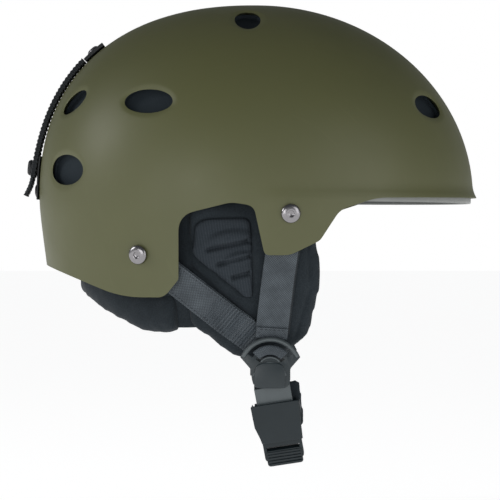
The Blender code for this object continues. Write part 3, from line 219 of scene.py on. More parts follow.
class Patterns:
    """The shared surface patterns, each a node group that is built once."""

    _made: dict[str, Tree] = {}

    @classmethod
    def get(cls, name: str) -> Tree:
        """Return the named pattern, building it the first time."""
        if name not in cls._made:
            cls._made[name] = getattr(cls, "_build_" + name)()
        return cls._made[name]

    @staticmethod
    def _build_grain() -> Tree:
        """Fine moulded or sprayed grain, with a slower patchiness."""
        nodes, source, result = new_group(
            "grain",
            {"Vector": ("Vector", None), "Fine": ("Float", 2600.0), "Broad": ("Float", 40.0)},
            {"Height": "Float", "Patch": "Float"},
        )
        fine = nodes.noise(source.outputs["Vector"], source.outputs["Fine"], 2.0, 0.6)
        broad = nodes.noise(source.outputs["Vector"], source.outputs["Broad"], 4.0, 0.55)
        nodes.wire(fine, result.inputs["Height"])
        nodes.wire(nodes.spread(broad, 0.32, 0.68), result.inputs["Patch"])
        return nodes.tree

    @staticmethod
    def _build_scuff() -> Tree:
        """Sparse thin scratches and rubbed spots, as a mask."""
        nodes, source, result = new_group(
            "scuff",
            {"Vector": ("Vector", None), "Amount": ("Float", 0.5)},
            {"Mask": "Float"},
        )
        marks = []
        for turn in (0.4, 1.9):
            turned = nodes.add("ShaderNodeMapping")
            nodes.wire(source.outputs["Vector"], turned.inputs["Vector"])
            turned.inputs["Rotation"].default_value = (turn, turn * 0.7, turn * 1.3)
            turned.inputs["Scale"].default_value = (14.0, 900.0, 60.0)
            lines = nodes.noise(turned.outputs["Vector"], 1.0, 1.0, 0.4)
            marks.append(nodes.spread(lines, 0.71, 0.76))
        spots = nodes.spread(nodes.noise(source.outputs["Vector"], 160.0, 3.0, 0.7), 0.66, 0.74)
        scratches = nodes.math("MAXIMUM", *marks)
        both = nodes.math("MAXIMUM", scratches, nodes.math("MULTIPLY", spots, 0.4))
        nodes.wire(nodes.math("MULTIPLY", both, source.outputs["Amount"]), result.inputs["Mask"])
        return nodes.tree

    @staticmethod
    def _build_weave() -> Tree:
        """Plain weave that follows a UV map in metres: ribs across, fine warp along."""
        nodes, source, result = new_group(
            "weave",
            {"UV": ("Vector", None), "Rib": ("Float", 1.25), "Warp": ("Float", 0.62)},
            {"Height": "Float", "Thread": "Float"},
        )
        split = nodes.add("ShaderNodeSeparateXYZ")
        nodes.wire(source.outputs["UV"], split.inputs["Vector"])
        turns = []
        for axis, pitch in ((0, "Rib"), (1, "Warp")):
            metres = nodes.math("DIVIDE", source.outputs[pitch], 1000.0)
            turns.append(nodes.math("DIVIDE", split.outputs[axis], metres))
        row = nodes.math("FLOOR", turns[1])
        shifted = nodes.math("ADD", turns[0], nodes.math("MULTIPLY", row, 0.5))
        along = nodes.math("ABSOLUTE", nodes.math("SINE", nodes.math("MULTIPLY", shifted, math.pi)))
        across = nodes.math("ABSOLUTE", nodes.math("SINE", nodes.math("MULTIPLY", turns[1], math.pi)))
        height = nodes.math("MULTIPLY", nodes.math("POWER", along, 0.6), nodes.math("POWER", across, 0.5))
        nodes.wire(height, result.inputs["Height"])
        # Thread: how high the thread stands; the woven finishes colour the raised threads lighter as painted highlight
        # and the hollows darker as painted shade
        nodes.wire(nodes.spread(height, 0.2, 0.9), result.inputs["Thread"])
        return nodes.tree

    @staticmethod
    def _build_knit() -> Tree:
        """Brushed knit cloth for padding, with fibre noise and a fine loop lattice."""
        nodes, source, result = new_group(
            "knit",
            {"Vector": ("Vector", None), "Loop": ("Float", 0.9)},
            {"Height": "Float", "Fuzz": "Float"},
        )
        wave = nodes.math("DIVIDE", MM_WAVE, source.outputs["Loop"])
        split = nodes.add("ShaderNodeSeparateXYZ")
        nodes.wire(source.outputs["Vector"], split.inputs["Vector"])
        sines = [nodes.math("SINE", nodes.math("MULTIPLY", split.outputs[axis], wave)) for axis in range(3)]
        lattice = nodes.math(
            "ADD", nodes.math("MULTIPLY", sines[0], sines[2]), nodes.math("MULTIPLY", sines[1], sines[2])
        )
        fibres = nodes.noise(source.outputs["Vector"], 1500.0, 3.0, 0.7)
        height = nodes.math("ADD", nodes.math("MULTIPLY", lattice, 0.25), fibres)
        nodes.wire(height, result.inputs["Height"])
        nodes.wire(nodes.spread(fibres, 0.3, 0.7), result.inputs["Fuzz"])
        return nodes.tree


# ---------------------------------------------------------------- finishes


@dataclass(frozen=True)
class Finish:
    """A named procedural material.

    Attributes:
        name: material name.
        colour: main linear colour.
        second: colour of patches, fibres or worn spots; on woven and rib knit cloth, the lighter colour of the raised
            threads and ribs, painted highlight and sheen.
        roughness: base roughness.
        metallic: metallic value.
        depth: height of the relief in metres.
        slot: the record's material slot; not used.
    """

    name: str
    colour: Colour
    second: Colour
    roughness: float
    slot: str
    metallic: float = 0.0
    depth: float = 0.0001

    def material(self) -> bpy.types.Material:
        """Return the material, building it the first time."""
        title = self.name + "_finish"
        found = bpy.data.materials.get(title)
        if found:
            return found
        made = bpy.data.materials.new(title)
        made.use_nodes = True
        made.diffuse_color = (*self.colour, 1.0)
        nodes = NodeBuilder(made.node_tree)
        shader = made.node_tree.nodes["Principled BSDF"]
        shader.inputs["Metallic"].default_value = self.metallic
        self.dress(nodes, shader)
        return made

    def dress(self, nodes: NodeBuilder, shader: Node) -> None:
        """Wire the pattern into the shader; each kind of finish has its own."""
        raise NotImplementedError

    def rgba(self, second: bool = False) -> tuple[float, float, float, float]:
        """One of the two colours with full alpha."""
        return (*(self.second if second else self.colour), 1.0)

    def relief(self, nodes: NodeBuilder, shader: Node, height: Socket) -> None:
        """Bump the surface by a height that runs from 0 to 1."""
        bump = nodes.add("ShaderNodeBump")
        bump.inputs["Strength"].default_value = 1.0
        bump.inputs["Distance"].default_value = self.depth
        nodes.wire(height, bump.inputs["Height"])
        nodes.wire(bump.outputs["Normal"], shader.inputs["Normal"])

    def coordinates(self, nodes: NodeBuilder) -> Socket:
        """Object coordinates in metres."""
        return nodes.add("ShaderNodeTexCoord").outputs["Object"]


@dataclass(frozen=True)
class Moulded(Finish):
    """Painted or moulded plastic, foam or plated metal with grain and light scuffs."""

    fine: float = 2600.0
    broad: float = 40.0
    scuffs: float = 0.3
    patch: float = 0.5
    specular: float = 0.5

    def dress(self, nodes: NodeBuilder, shader: Node) -> None:
        """Grain in the relief, patchiness in the colour, scuffs in the roughness."""
        place = self.coordinates(nodes)
        grain = nodes.place(Patterns.get("grain"), Vector=place, Fine=self.fine, Broad=self.broad)
        scuff = nodes.place(Patterns.get("scuff"), Vector=place, Amount=self.scuffs)
        share = nodes.math("MULTIPLY", grain.outputs["Patch"], self.patch)
        colour = nodes.blend(share, self.rgba(), self.rgba(second=True))
        worn = nodes.blend(scuff.outputs["Mask"], colour, tuple(min(c * 1.6 + 0.02, 1.0) for c in self.colour) + (1.0,))
        nodes.wire(worn, shader.inputs["Base Color"])
        rough = nodes.spread(grain.outputs["Patch"], 0.0, 1.0, self.roughness - 0.04, self.roughness + 0.05)
        rubbed = nodes.math("MULTIPLY", scuff.outputs["Mask"], 0.12)
        nodes.wire(nodes.math("ADD", rough, rubbed), shader.inputs["Roughness"])
        shader.inputs["Specular IOR Level"].default_value = self.specular
        self.relief(nodes, shader, grain.outputs["Height"])


@dataclass(frozen=True)
class Woven(Finish):
    """Webbing whose weave follows the strip."""

    rib: float = 1.25
    warp: float = 0.62
    sheen: float = 0.05
    sheen_spread: float = 0.4
    specular: float = 0.3

    def dress(self, nodes: NodeBuilder, shader: Node) -> None:
        """Weave in the relief, and in the colour as painted sheen on the raised threads in broad patches along the
        strip, with painted shade between them.
        """
        uv = nodes.add("ShaderNodeUVMap", uv_map="strip").outputs["UV"]
        weave = nodes.place(Patterns.get("weave"), UV=uv, Rib=self.rib, Warp=self.warp)
        grain = nodes.place(Patterns.get("grain"), Vector=self.coordinates(nodes), Fine=3000.0, Broad=90.0)
        # painted sheen: the raised threads take the lighter second colour, more so in broad patches along the strip
        wear_and_sheen = nodes.spread(grain.outputs["Patch"], 0.0, 1.0, *FABRIC_WEAR_AND_SHEEN)
        share = nodes.math("MULTIPLY", weave.outputs["Thread"], wear_and_sheen)
        nodes.wire(nodes.blend(share, self.rgba(), self.rgba(second=True)), shader.inputs["Base Color"])
        rough = nodes.spread(weave.outputs["Thread"], 0.0, 1.0, self.roughness + 0.1, self.roughness)
        nodes.wire(rough, shader.inputs["Roughness"])
        shader.inputs["Sheen Weight"].default_value = self.sheen
        shader.inputs["Sheen Roughness"].default_value = self.sheen_spread
        shader.inputs["Specular IOR Level"].default_value = self.specular
        self.relief(nodes, shader, weave.outputs["Height"])


@dataclass(frozen=True)
class Knitted(Finish):
    """Brushed knit cover of the padding."""

    loop: float = 0.9
    sheen: float = 0.08
    sheen_spread: float = 0.5
    specular: float = 0.25

    def dress(self, nodes: NodeBuilder, shader: Node) -> None:
        """Loops and fibres in the relief, fuzz and slow worn patches in the colour."""
        place = self.coordinates(nodes)
        knit = nodes.place(Patterns.get("knit"), Vector=place, Loop=self.loop)
        grain = nodes.place(Patterns.get("grain"), Vector=place, Fine=700.0, Broad=55.0)
        wear_and_sheen = nodes.spread(grain.outputs["Patch"], 0.0, 1.0, *FABRIC_WEAR_AND_SHEEN)
        fuzz = nodes.math("MULTIPLY", knit.outputs["Fuzz"], wear_and_sheen)
        nodes.wire(nodes.blend(fuzz, self.rgba(), self.rgba(second=True)), shader.inputs["Base Color"])
        rough = nodes.spread(grain.outputs["Height"], 0.3, 0.7, self.roughness - 0.05, self.roughness + 0.05)
        nodes.wire(rough, shader.inputs["Roughness"])
        shader.inputs["Sheen Weight"].default_value = self.sheen
        shader.inputs["Sheen Roughness"].default_value = self.sheen_spread
        shader.inputs["Specular IOR Level"].default_value = self.specular
        self.relief(nodes, shader, knit.outputs["Height"])


@dataclass(frozen=True)
class RibKnit(Finish):
    """Stretch knit with fine ribs that run down the ear flap."""

    pitch: float = 1.7
    loop: float = 0.9
    tilt: float = 0.16
    specular: float = 0.2

    def dress(self, nodes: NodeBuilder, shader: Node) -> None:
        """Ribs and loops in the relief, and in the colour as painted shade in their hollows and painted highlight on
        their tops.
        """
        place = self.coordinates(nodes)
        split = nodes.add("ShaderNodeSeparateXYZ")
        nodes.wire(place, split.inputs["Vector"])
        slant = nodes.math("ADD", split.outputs[0], nodes.math("MULTIPLY", split.outputs[2], self.tilt))
        turn = nodes.math("MULTIPLY", slant, MM_WAVE / self.pitch)
        rib = nodes.spread(nodes.math("SINE", turn), -1.0, 1.0)
        turn = nodes.math("MULTIPLY", split.outputs[2], MM_WAVE / self.loop)
        loop = nodes.spread(nodes.math("SINE", turn), -1.0, 1.0)
        grain = nodes.place(Patterns.get("grain"), Vector=place, Fine=1400.0, Broad=70.0)
        height = nodes.math("ADD", nodes.math("MULTIPLY", rib, 0.7), nodes.math("MULTIPLY", loop, 0.3))
        # painted shade and highlight: darker in the hollows between ribs and loops, lighter on their tops
        tint = nodes.spread(height, 0.0, 1.0, 0.35, 0.85)
        share = nodes.math("MULTIPLY", tint, nodes.spread(grain.outputs["Height"], 0.25, 0.75, *FABRIC_WEAR_AND_SHEEN))
        nodes.wire(nodes.blend(share, self.rgba(), self.rgba(second=True)), shader.inputs["Base Color"])
        rough = nodes.spread(grain.outputs["Patch"], 0.0, 1.0, self.roughness - 0.06, self.roughness)
        nodes.wire(rough, shader.inputs["Roughness"])
        shader.inputs["Specular IOR Level"].default_value = self.specular
        self.relief(nodes, shader, height)


def hardware(name: str, colour: Colour, second: Colour, roughness: float, specular: float = 0.5) -> Moulded:
    """Moulded plastic of the fittings on the straps."""
    return Moulded(
        name, colour, second, roughness, "strap_plastic",
        depth=0.000005, fine=3200.0, broad=120.0, scuffs=0.2, specular=specular,
    )


SHELL_PAINT = Moulded(
    "shell_paint", (0.103, 0.107, 0.042), (0.092, 0.097, 0.038), 0.47, "shell_paint",
    depth=0.000004, fine=2400.0, broad=22.0, scuffs=0.05, specular=0.52,
)
LINER_FOAM = Moulded(
    "liner_foam", (0.018, 0.025, 0.031), (0.028, 0.037, 0.045), 0.85, "foam",
    depth=0.0002, fine=520.0, broad=60.0, scuffs=0.0, specular=0.2,
)
STRAP_PLASTIC = hardware("strap_plastic", (0.032, 0.042, 0.048), (0.024, 0.032, 0.037), 0.36)
NICKEL = Moulded(
    "nickel", (0.31, 0.30, 0.31), (0.26, 0.25, 0.26), 0.22, "nickel",
    metallic=1.0, depth=0.000002, fine=1800.0, broad=300.0, scuffs=0.2,
)
DIVIDER_PLASTIC = hardware("divider_plastic", (0.020, 0.030, 0.035), (0.016, 0.025, 0.029), 0.34)
BUCKLE_PLASTIC = hardware("buckle_plastic", (0.009, 0.017, 0.021), (0.007, 0.013, 0.017), 0.40, specular=0.4)
# lighter plastic: the keeper's own colour, and on the divider's beads and boss ring a painted highlight on the plate's
# rims
KEEPER_PLASTIC_AND_RIM_HIGHLIGHT = hardware("keeper_plastic", (0.085, 0.102, 0.108), (0.070, 0.084, 0.090), 0.34)
BLACK_RUBBER = Moulded(
    "black_rubber", (0.010, 0.012, 0.014), (0.016, 0.018, 0.020), 0.55, "black_rubber",
    depth=0.00001, fine=2600.0, broad=150.0, scuffs=0.2,
)
# woven cloth: the much lighter second colour is painted sheen on the raised threads
WEBBING = Woven(
    "webbing", (0.022, 0.029, 0.036), (0.128, 0.152, 0.172), 0.42, "webbing", depth=0.00010, rib=1.5, warp=0.75
)
CHIN_WEBBING = Woven(
    "chin_webbing", (0.012, 0.015, 0.018), (0.046, 0.054, 0.062), 0.66, "webbing", depth=0.00012, rib=1.5, warp=0.8
)
# pale band inside the peak: a painted highlight along the shell's inner rim
PEAK_HIGHLIGHT_PLASTIC = Moulded(
    "trim_plastic", (0.26, 0.27, 0.26), (0.21, 0.22, 0.21), 0.35, "strap_plastic",
    depth=0.000005, fine=2600.0, broad=90.0, scuffs=0.3,
)
THREAD = Moulded(
    "stitch_thread", (0.060, 0.068, 0.078), (0.045, 0.052, 0.060), 0.7, "webbing",
    depth=0.00001, fine=4000.0, broad=400.0, scuffs=0.0, specular=0.2,
)
PAD_CLOTH = Knitted("pad_cloth", (0.011, 0.016, 0.020), (0.030, 0.039, 0.047), 0.9, "pad_fabric", depth=0.00010)
# the lighter second colour is painted highlight on the rib tops
PANEL_CLOTH = RibKnit("panel_cloth", (0.013, 0.018, 0.023), (0.052, 0.063, 0.075), 0.9, "pad_fabric", depth=0.00008)
BRAID = Woven(
    "braided_elastic", (0.008, 0.010, 0.012), (0.034, 0.040, 0.045), 0.6, "black_rubber",
    depth=0.0002, rib=1.35, warp=1.4,
)


# ---------------------------------------------------------------- mesh helpers


def signed_power(value: float, power: float) -> float:
    """Power of a number's size, with its sign kept."""
    return math.copysign(abs(value) ** power, value)


def smoothstep(value: float) -> float:
    """Smooth rise from 0 to 1."""
    value = min(max(value, 0.0), 1.0)
    return value * value * (3.0 - 2.0 * value)


def face_out(bm: BMesh) -> None:
    """Point every face outwards."""
    bmesh.ops.recalc_face_normals(bm, faces=bm.faces)


def make_piece(
    name: str,
    bm: BMesh,
    finish: Finish,
    body: Body | None,
    replaces: Iterable[str] = (),
    mirrored: bool = False,
    crease: float = 35.0,
) -> Object:
    """Turn a bmesh into a piece that rides on a body.

    Args:
        name: the piece's name.
        bm: the shape, in the row frame; it is freed.
        finish: its material.
        body: the body that it rides on, or None to leave it on no body.
        replaces: CAD nodes that it stands for.
        mirrored: True to reflect it to the other side first.
        crease: angle in degrees over which an edge is drawn sharp.

    Returns:
        The new object.
    """
    if mirrored:
        bmesh.ops.scale(bm, vec=(1.0, -1.0, 1.0), verts=bm.verts)
        bmesh.ops.reverse_faces(bm, faces=bm.faces)
    mesh = bpy.data.meshes.new(name)
    bm.to_mesh(mesh)
    bm.free()
    return adopt_mesh(name, mesh, finish, body, replaces, crease)


def adopt_mesh(
    name: str,
    mesh: bpy.types.Mesh,
    finish: Finish,
    body: Body | None,
    replaces: Iterable[str] = (),
    crease: float = 35.0,
) -> Object:
    """Link a finished mesh as a piece with its material, body and replaced nodes."""
    mesh.name = name
    mesh.shade_smooth()
    mesh.set_sharp_from_angle(angle=math.radians(crease))
    mesh.materials.clear()
    mesh.materials.append(finish.material())
    piece = bpy.data.objects.new(name, mesh)
    bpy.context.scene.collection.objects.link(piece)
    if body is not None:
        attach(piece, body.value)
    names = list(replaces)
    if names:
        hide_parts(*names)
    log.info("%s: %d faces", name, len(mesh.polygons))
    return piece


def helper(name: str, bm: BMesh) -> Object:
    """A temporary object for a Boolean or a simulation."""
    mesh = bpy.data.meshes.new(name)
    bm.to_mesh(mesh)
    bm.free()
    made = bpy.data.objects.new(name, mesh)
    bpy.context.scene.collection.objects.link(made)
    return made


def baked(obj: Object, *helpers: Object) -> bpy.types.Mesh:
    """Apply an object's modifiers, remove it and its helpers, and return the mesh."""
    bpy.context.view_layer.update()
    graph = bpy.context.evaluated_depsgraph_get()
    mesh = bpy.data.meshes.new_from_object(obj.evaluated_get(graph))
    for old in (obj, *helpers):
        bpy.data.objects.remove(old, do_unlink=True)
    return mesh


def carve(obj: Object, cutter: Object, operation: str = "DIFFERENCE") -> None:
    """Add an exact Boolean."""
    modifier = obj.modifiers.new(cutter.name, "BOOLEAN")
    modifier.operation = operation
    modifier.solver = "EXACT"
    modifier.object = cutter


def rounded_outline(corners: Sequence[tuple[float, float, float]], steps: int = 6, closed: bool = True) -> list[Vector]:
    """Points of a polygon whose corners carry fillets.

    Args:
        corners: (u, v, fillet radius) of each corner.
        steps: segments in each fillet.
        closed: False leaves the two ends as they are.

    Returns:
        The outline's points.
    """
    points: list[Vector] = []
    count = len(corners)
    for i, (u, v, radius) in enumerate(corners):
        here = Vector((u, v))
        if radius <= 0.0 or (not closed and i in (0, count - 1)):
            points.append(here)
            continue
        before = Vector(corners[i - 1][:2]) - here
        after = Vector(corners[(i + 1) % count][:2]) - here
        reach = min(radius / math.tan(before.angle(after) / 2.0), 0.49 * before.length, 0.49 * after.length)
        start, end = here + before.normalized() * reach, here + after.normalized() * reach
        for k in range(steps + 1):
            t = k / steps
            points.append(start * (1 - t) ** 2 + here * 2 * t * (1 - t) + end * t**2)
    return points


def slab(bm: BMesh, outline: Sequence[Sequence[float]], place: Matrix, low: float, high: float) -> None:
    """Extrude a flat outline between two heights of a frame.

    Args:
        bm: where the slab goes.
        outline: (u, v) points.
        place: frame whose local z is the thickness.
        low: lower local z.
        high: upper local z.
    """
    floor = bm.faces.new([bm.verts.new(place @ Vector((p[0], p[1], low))) for p in outline])
    result = bmesh.ops.extrude_face_region(bm, geom=[floor])
    top = [v for v in result["geom"] if isinstance(v, bmesh.types.BMVert)]
    bmesh.ops.translate(bm, vec=place.to_3x3() @ Vector((0.0, 0.0, high - low)), verts=top)


def block(bm: BMesh, low: Sequence[float], high: Sequence[float], place: Matrix) -> None:
    """Add a box between two corners of a frame."""
    made = bmesh.ops.create_cube(bm, size=1.0)["verts"]
    size = [h - l for l, h in zip(low, high)]
    middle = Vector([(h + l) / 2.0 for l, h in zip(low, high)])
    bmesh.ops.scale(bm, vec=size, verts=made)
    bmesh.ops.transform(bm, matrix=place @ Matrix.Translation(middle), verts=made)


def lathe(profile: Profile, place: Matrix, steps: int = 48) -> BMesh:
    """Spin a profile of (radius, height) round local z.

    Args:
        profile: points; ends on the axis are closed.
        place: frame of the axis.
        steps: segments round the axis.

    Returns:
        The turned shape.
    """
    bm = bmesh.new()
    points = [bm.verts.new((radius, 0.0, height)) for radius, height in profile]
    edges = [bm.edges.new(pair) for pair in zip(points, points[1:])]
    bmesh.ops.spin(
        bm, geom=[*points, *edges], cent=(0, 0, 0), axis=(0, 0, 1), angle=2 * math.pi, steps=steps, use_merge=True
    )
    bmesh.ops.remove_doubles(bm, verts=bm.verts, dist=1e-6)
    face_out(bm)
    bmesh.ops.transform(bm, matrix=place, verts=bm.verts)
    return bm


def round_rim(bm: BMesh, width: float, segments: int) -> None:
    """Round every edge that turns by more than a radian."""
    rim = [edge for edge in bm.edges if edge.calc_face_angle(0.0) > 1.0]
    bmesh.ops.bevel(
        bm, geom=rim, offset=width, segments=segments, profile=0.5, affect="EDGES", material=-1, clamp_overlap=True
    )


def full_turn(count: int) -> list[float]:
    """Evenly spread angles round a circle."""
    return [2.0 * math.pi * k / count for k in range(count)]


def running_lengths(points: Iterable[Vector]) -> list[float]:
    """Distance along a row of points at each of them."""
    places = list(points)
    total = [0.0]
    for a, b in zip(places, places[1:]):
        total.append(total[-1] + (b - a).length)
    return total


def smooth_path(points: Sequence[Vector], count: int) -> list[Vector]:
    """Evenly spread points of a smooth curve through the given ones."""
    ends = [2 * points[0] - points[1], *points, 2 * points[-1] - points[-2]]
    fine: list[Vector] = []
    for a, b, c, d in zip(ends, ends[1:], ends[2:], ends[3:]):
        for k in range(24):
            t = k / 24
            curve = 2 * b + (c - a) * t + (2 * a - 5 * b + 4 * c - d) * t**2 + (3 * b - a - 3 * c + d) * t**3
            fine.append(0.5 * curve)
    fine.append(points[-1])
    lengths = running_lengths(fine)
    spread, k = [], 0
    for i in range(count):
        target = lengths[-1] * i / (count - 1)
        while k < len(fine) - 2 and lengths[k + 1] < target:
            k += 1
        spread.append(fine[k].lerp(fine[k + 1], (target - lengths[k]) / max(lengths[k + 1] - lengths[k], 1e-12)))
    return spread


def tangents(points: Sequence[Vector]) -> list[Vector]:
    """Unit directions along a row of points."""
    last = len(points) - 1
    return [(points[min(i + 1, last)] - points[max(i - 1, 0)]).normalized() for i in range(last + 1)]


def square_station(point: Vector, tangent: Vector, across: Vector) -> Station:
    """Station whose across is brought square to the strip's direction."""
    across = (across - tangent * across.dot(tangent)).normalized()
    return point, across, tangent.cross(across).normalized()


def level_stations(path: Sequence[Vector], across: Vector) -> list[Station]:
    """Stations of a strip that bends round one fixed direction."""
    return [(p, across, t.cross(across).normalized()) for p, t in zip(path, tangents(path))]


def normal_frame(point: Vector, normal: Vector, up: Sequence[float] = (0.0, 0.0, 1.0)) -> Matrix:
    """Frame at a point with local z along the normal and local y near up."""
    z_axis = normal.normalized()
    x_axis = Vector(up).cross(z_axis).normalized()
    turn = Matrix((x_axis, z_axis.cross(x_axis), z_axis)).transposed().to_4x4()
    return Matrix.Translation(point) @ turn


@dataclass
class Strip:
    """A flat strip of webbing, elastic or binding that follows a row of stations.

    Attributes:
        stations: (centre, across, normal) at even steps of length.
        width: full width.
        thickness: full thickness.
        columns: faces across the width.
        selvedge: how much the edges thin out, as a share of the thickness.
        rib: height of the ribs across the strip.
        rib_pitch: spacing of those ribs.
        rib_zones: stretches that carry ribs, from and to as shares of the strip.
        rib_fade: share of the strip over which they fade in or out.
    """

    stations: list[Station]
    width: float = WEB_WIDTH
    thickness: float = WEB_THICKNESS
    columns: int = 14
    selvedge: float = 0.35
    rib: float = 0.0
    rib_pitch: float = 0.0018
    rib_zones: Sequence[Point2] = ((-1.0, 2.0),)
    rib_fade: float = 0.06

    def ribbing(self, share: float) -> float:
        """How strong the ribs are at a share of the strip, from 0 to 1."""
        fade = self.rib_fade
        return max(smoothstep((share - low) / fade) * smoothstep((high - share) / fade) for low, high in self.rib_zones)

    def build(self) -> BMesh:
        """Map a grid to both faces of the strip and join them along the edges.

        Returns:
            The closed strip, with a UV map in metres.
        """
        rows, columns = len(self.stations) - 1, self.columns
        run = running_lengths(centre for centre, _, _ in self.stations)
        bm = bmesh.new()
        layer = bm.loops.layers.uv.new("strip")
        sheets = []
        for lift in (1.0, -1.0):
            made = bmesh.ops.create_grid(bm, x_segments=rows, y_segments=columns, size=1.0)["verts"]
            where = {}
            for vert in made:
                i = round((vert.co.x + 1.0) / 2.0 * rows)
                share = vert.co.y
                centre, across, normal = self.stations[i]
                across, normal = across.normalized(), normal.normalized()
                edge = abs(share) ** 8
                half = self.thickness / 2.0 * (1.0 - self.selvedge * edge)
                ribbing = self.rib * self.ribbing(run[i] / run[-1])
                half += 0.5 * ribbing * math.cos(2 * math.pi * run[i] / self.rib_pitch)
                vert.co = centre + across * (share * self.width / 2.0) + normal * (lift * half)
                where[vert] = (run[i], share * self.width / 2.0)
            faces = {face for vert in made for face in vert.link_faces}
            for face in faces:
                for loop in face.loops:
                    loop[layer].uv = where[loop.vert]
            if lift < 0.0:
                bmesh.ops.reverse_faces(bm, faces=list(faces))
            sheets.append((made, where))
        rims = [edge for edge in bm.edges if edge.is_boundary]
        sides = bmesh.ops.bridge_loops(bm, edges=rims)["faces"]
        everywhere = {**sheets[0][1], **sheets[1][1]}
        for face in sides:
            for loop in face.loops:
                loop[layer].uv = everywhere[loop.vert]
        face_out(bm)
        return bm


@dataclass
class Stitching:
    """Rows of raised thread on a surface.

    Attributes:
        thread: half thickness of the thread.
        pitch: spacing from stitch to stitch.
        share: part of the pitch that each stitch covers.
    """

    thread: float = 0.00028
    pitch: float = 0.0024
    share: float = 0.68

    def along(self, bm: BMesh, path: Sequence[Vector], normals: Sequence[Vector]) -> None:
        """Lay stitches along a path.

        Args:
            bm: where the stitches go.
            path: points on the surface.
            normals: the surface's normal at each point.
        """
        lengths = running_lengths(path)
        count = int(lengths[-1] / self.pitch)
        for k in range(count):
            middle = (k + 0.5) * lengths[-1] / count
            i = max(j for j, length in enumerate(lengths) if length <= middle)
            i = min(i, len(path) - 2)
            part = (middle - lengths[i]) / max(lengths[i + 1] - lengths[i], 1e-9)
            point = path[i].lerp(path[i + 1], part)
            direction = (path[i + 1] - path[i]).normalized()
            normal = normals[i].lerp(normals[i + 1], part).normalized()
            self.one(bm, point, direction, normal)

    def one(self, bm: BMesh, point: Vector, direction: Vector, normal: Vector) -> None:
        """Add one stitch, a short arched bead that dips in at both ends."""
        made = bmesh.ops.create_uvsphere(bm, u_segments=6, v_segments=5, radius=1.0)["verts"]
        side = normal.cross(direction).normalized()
        half = self.pitch * self.share / 2.0
        bmesh.ops.rotate(bm, cent=(0, 0, 0), matrix=Matrix.Rotation(math.pi / 2, 3, "Y"), verts=made)
        turn = Matrix((direction * half, side * self.thread, normal * self.thread)).transposed().to_4x4()
        bmesh.ops.transform(bm, matrix=Matrix.Translation(point + normal * self.thread * 0.35) @ turn, verts=made)


# ---------------------------------------------------------------- the helmet's form


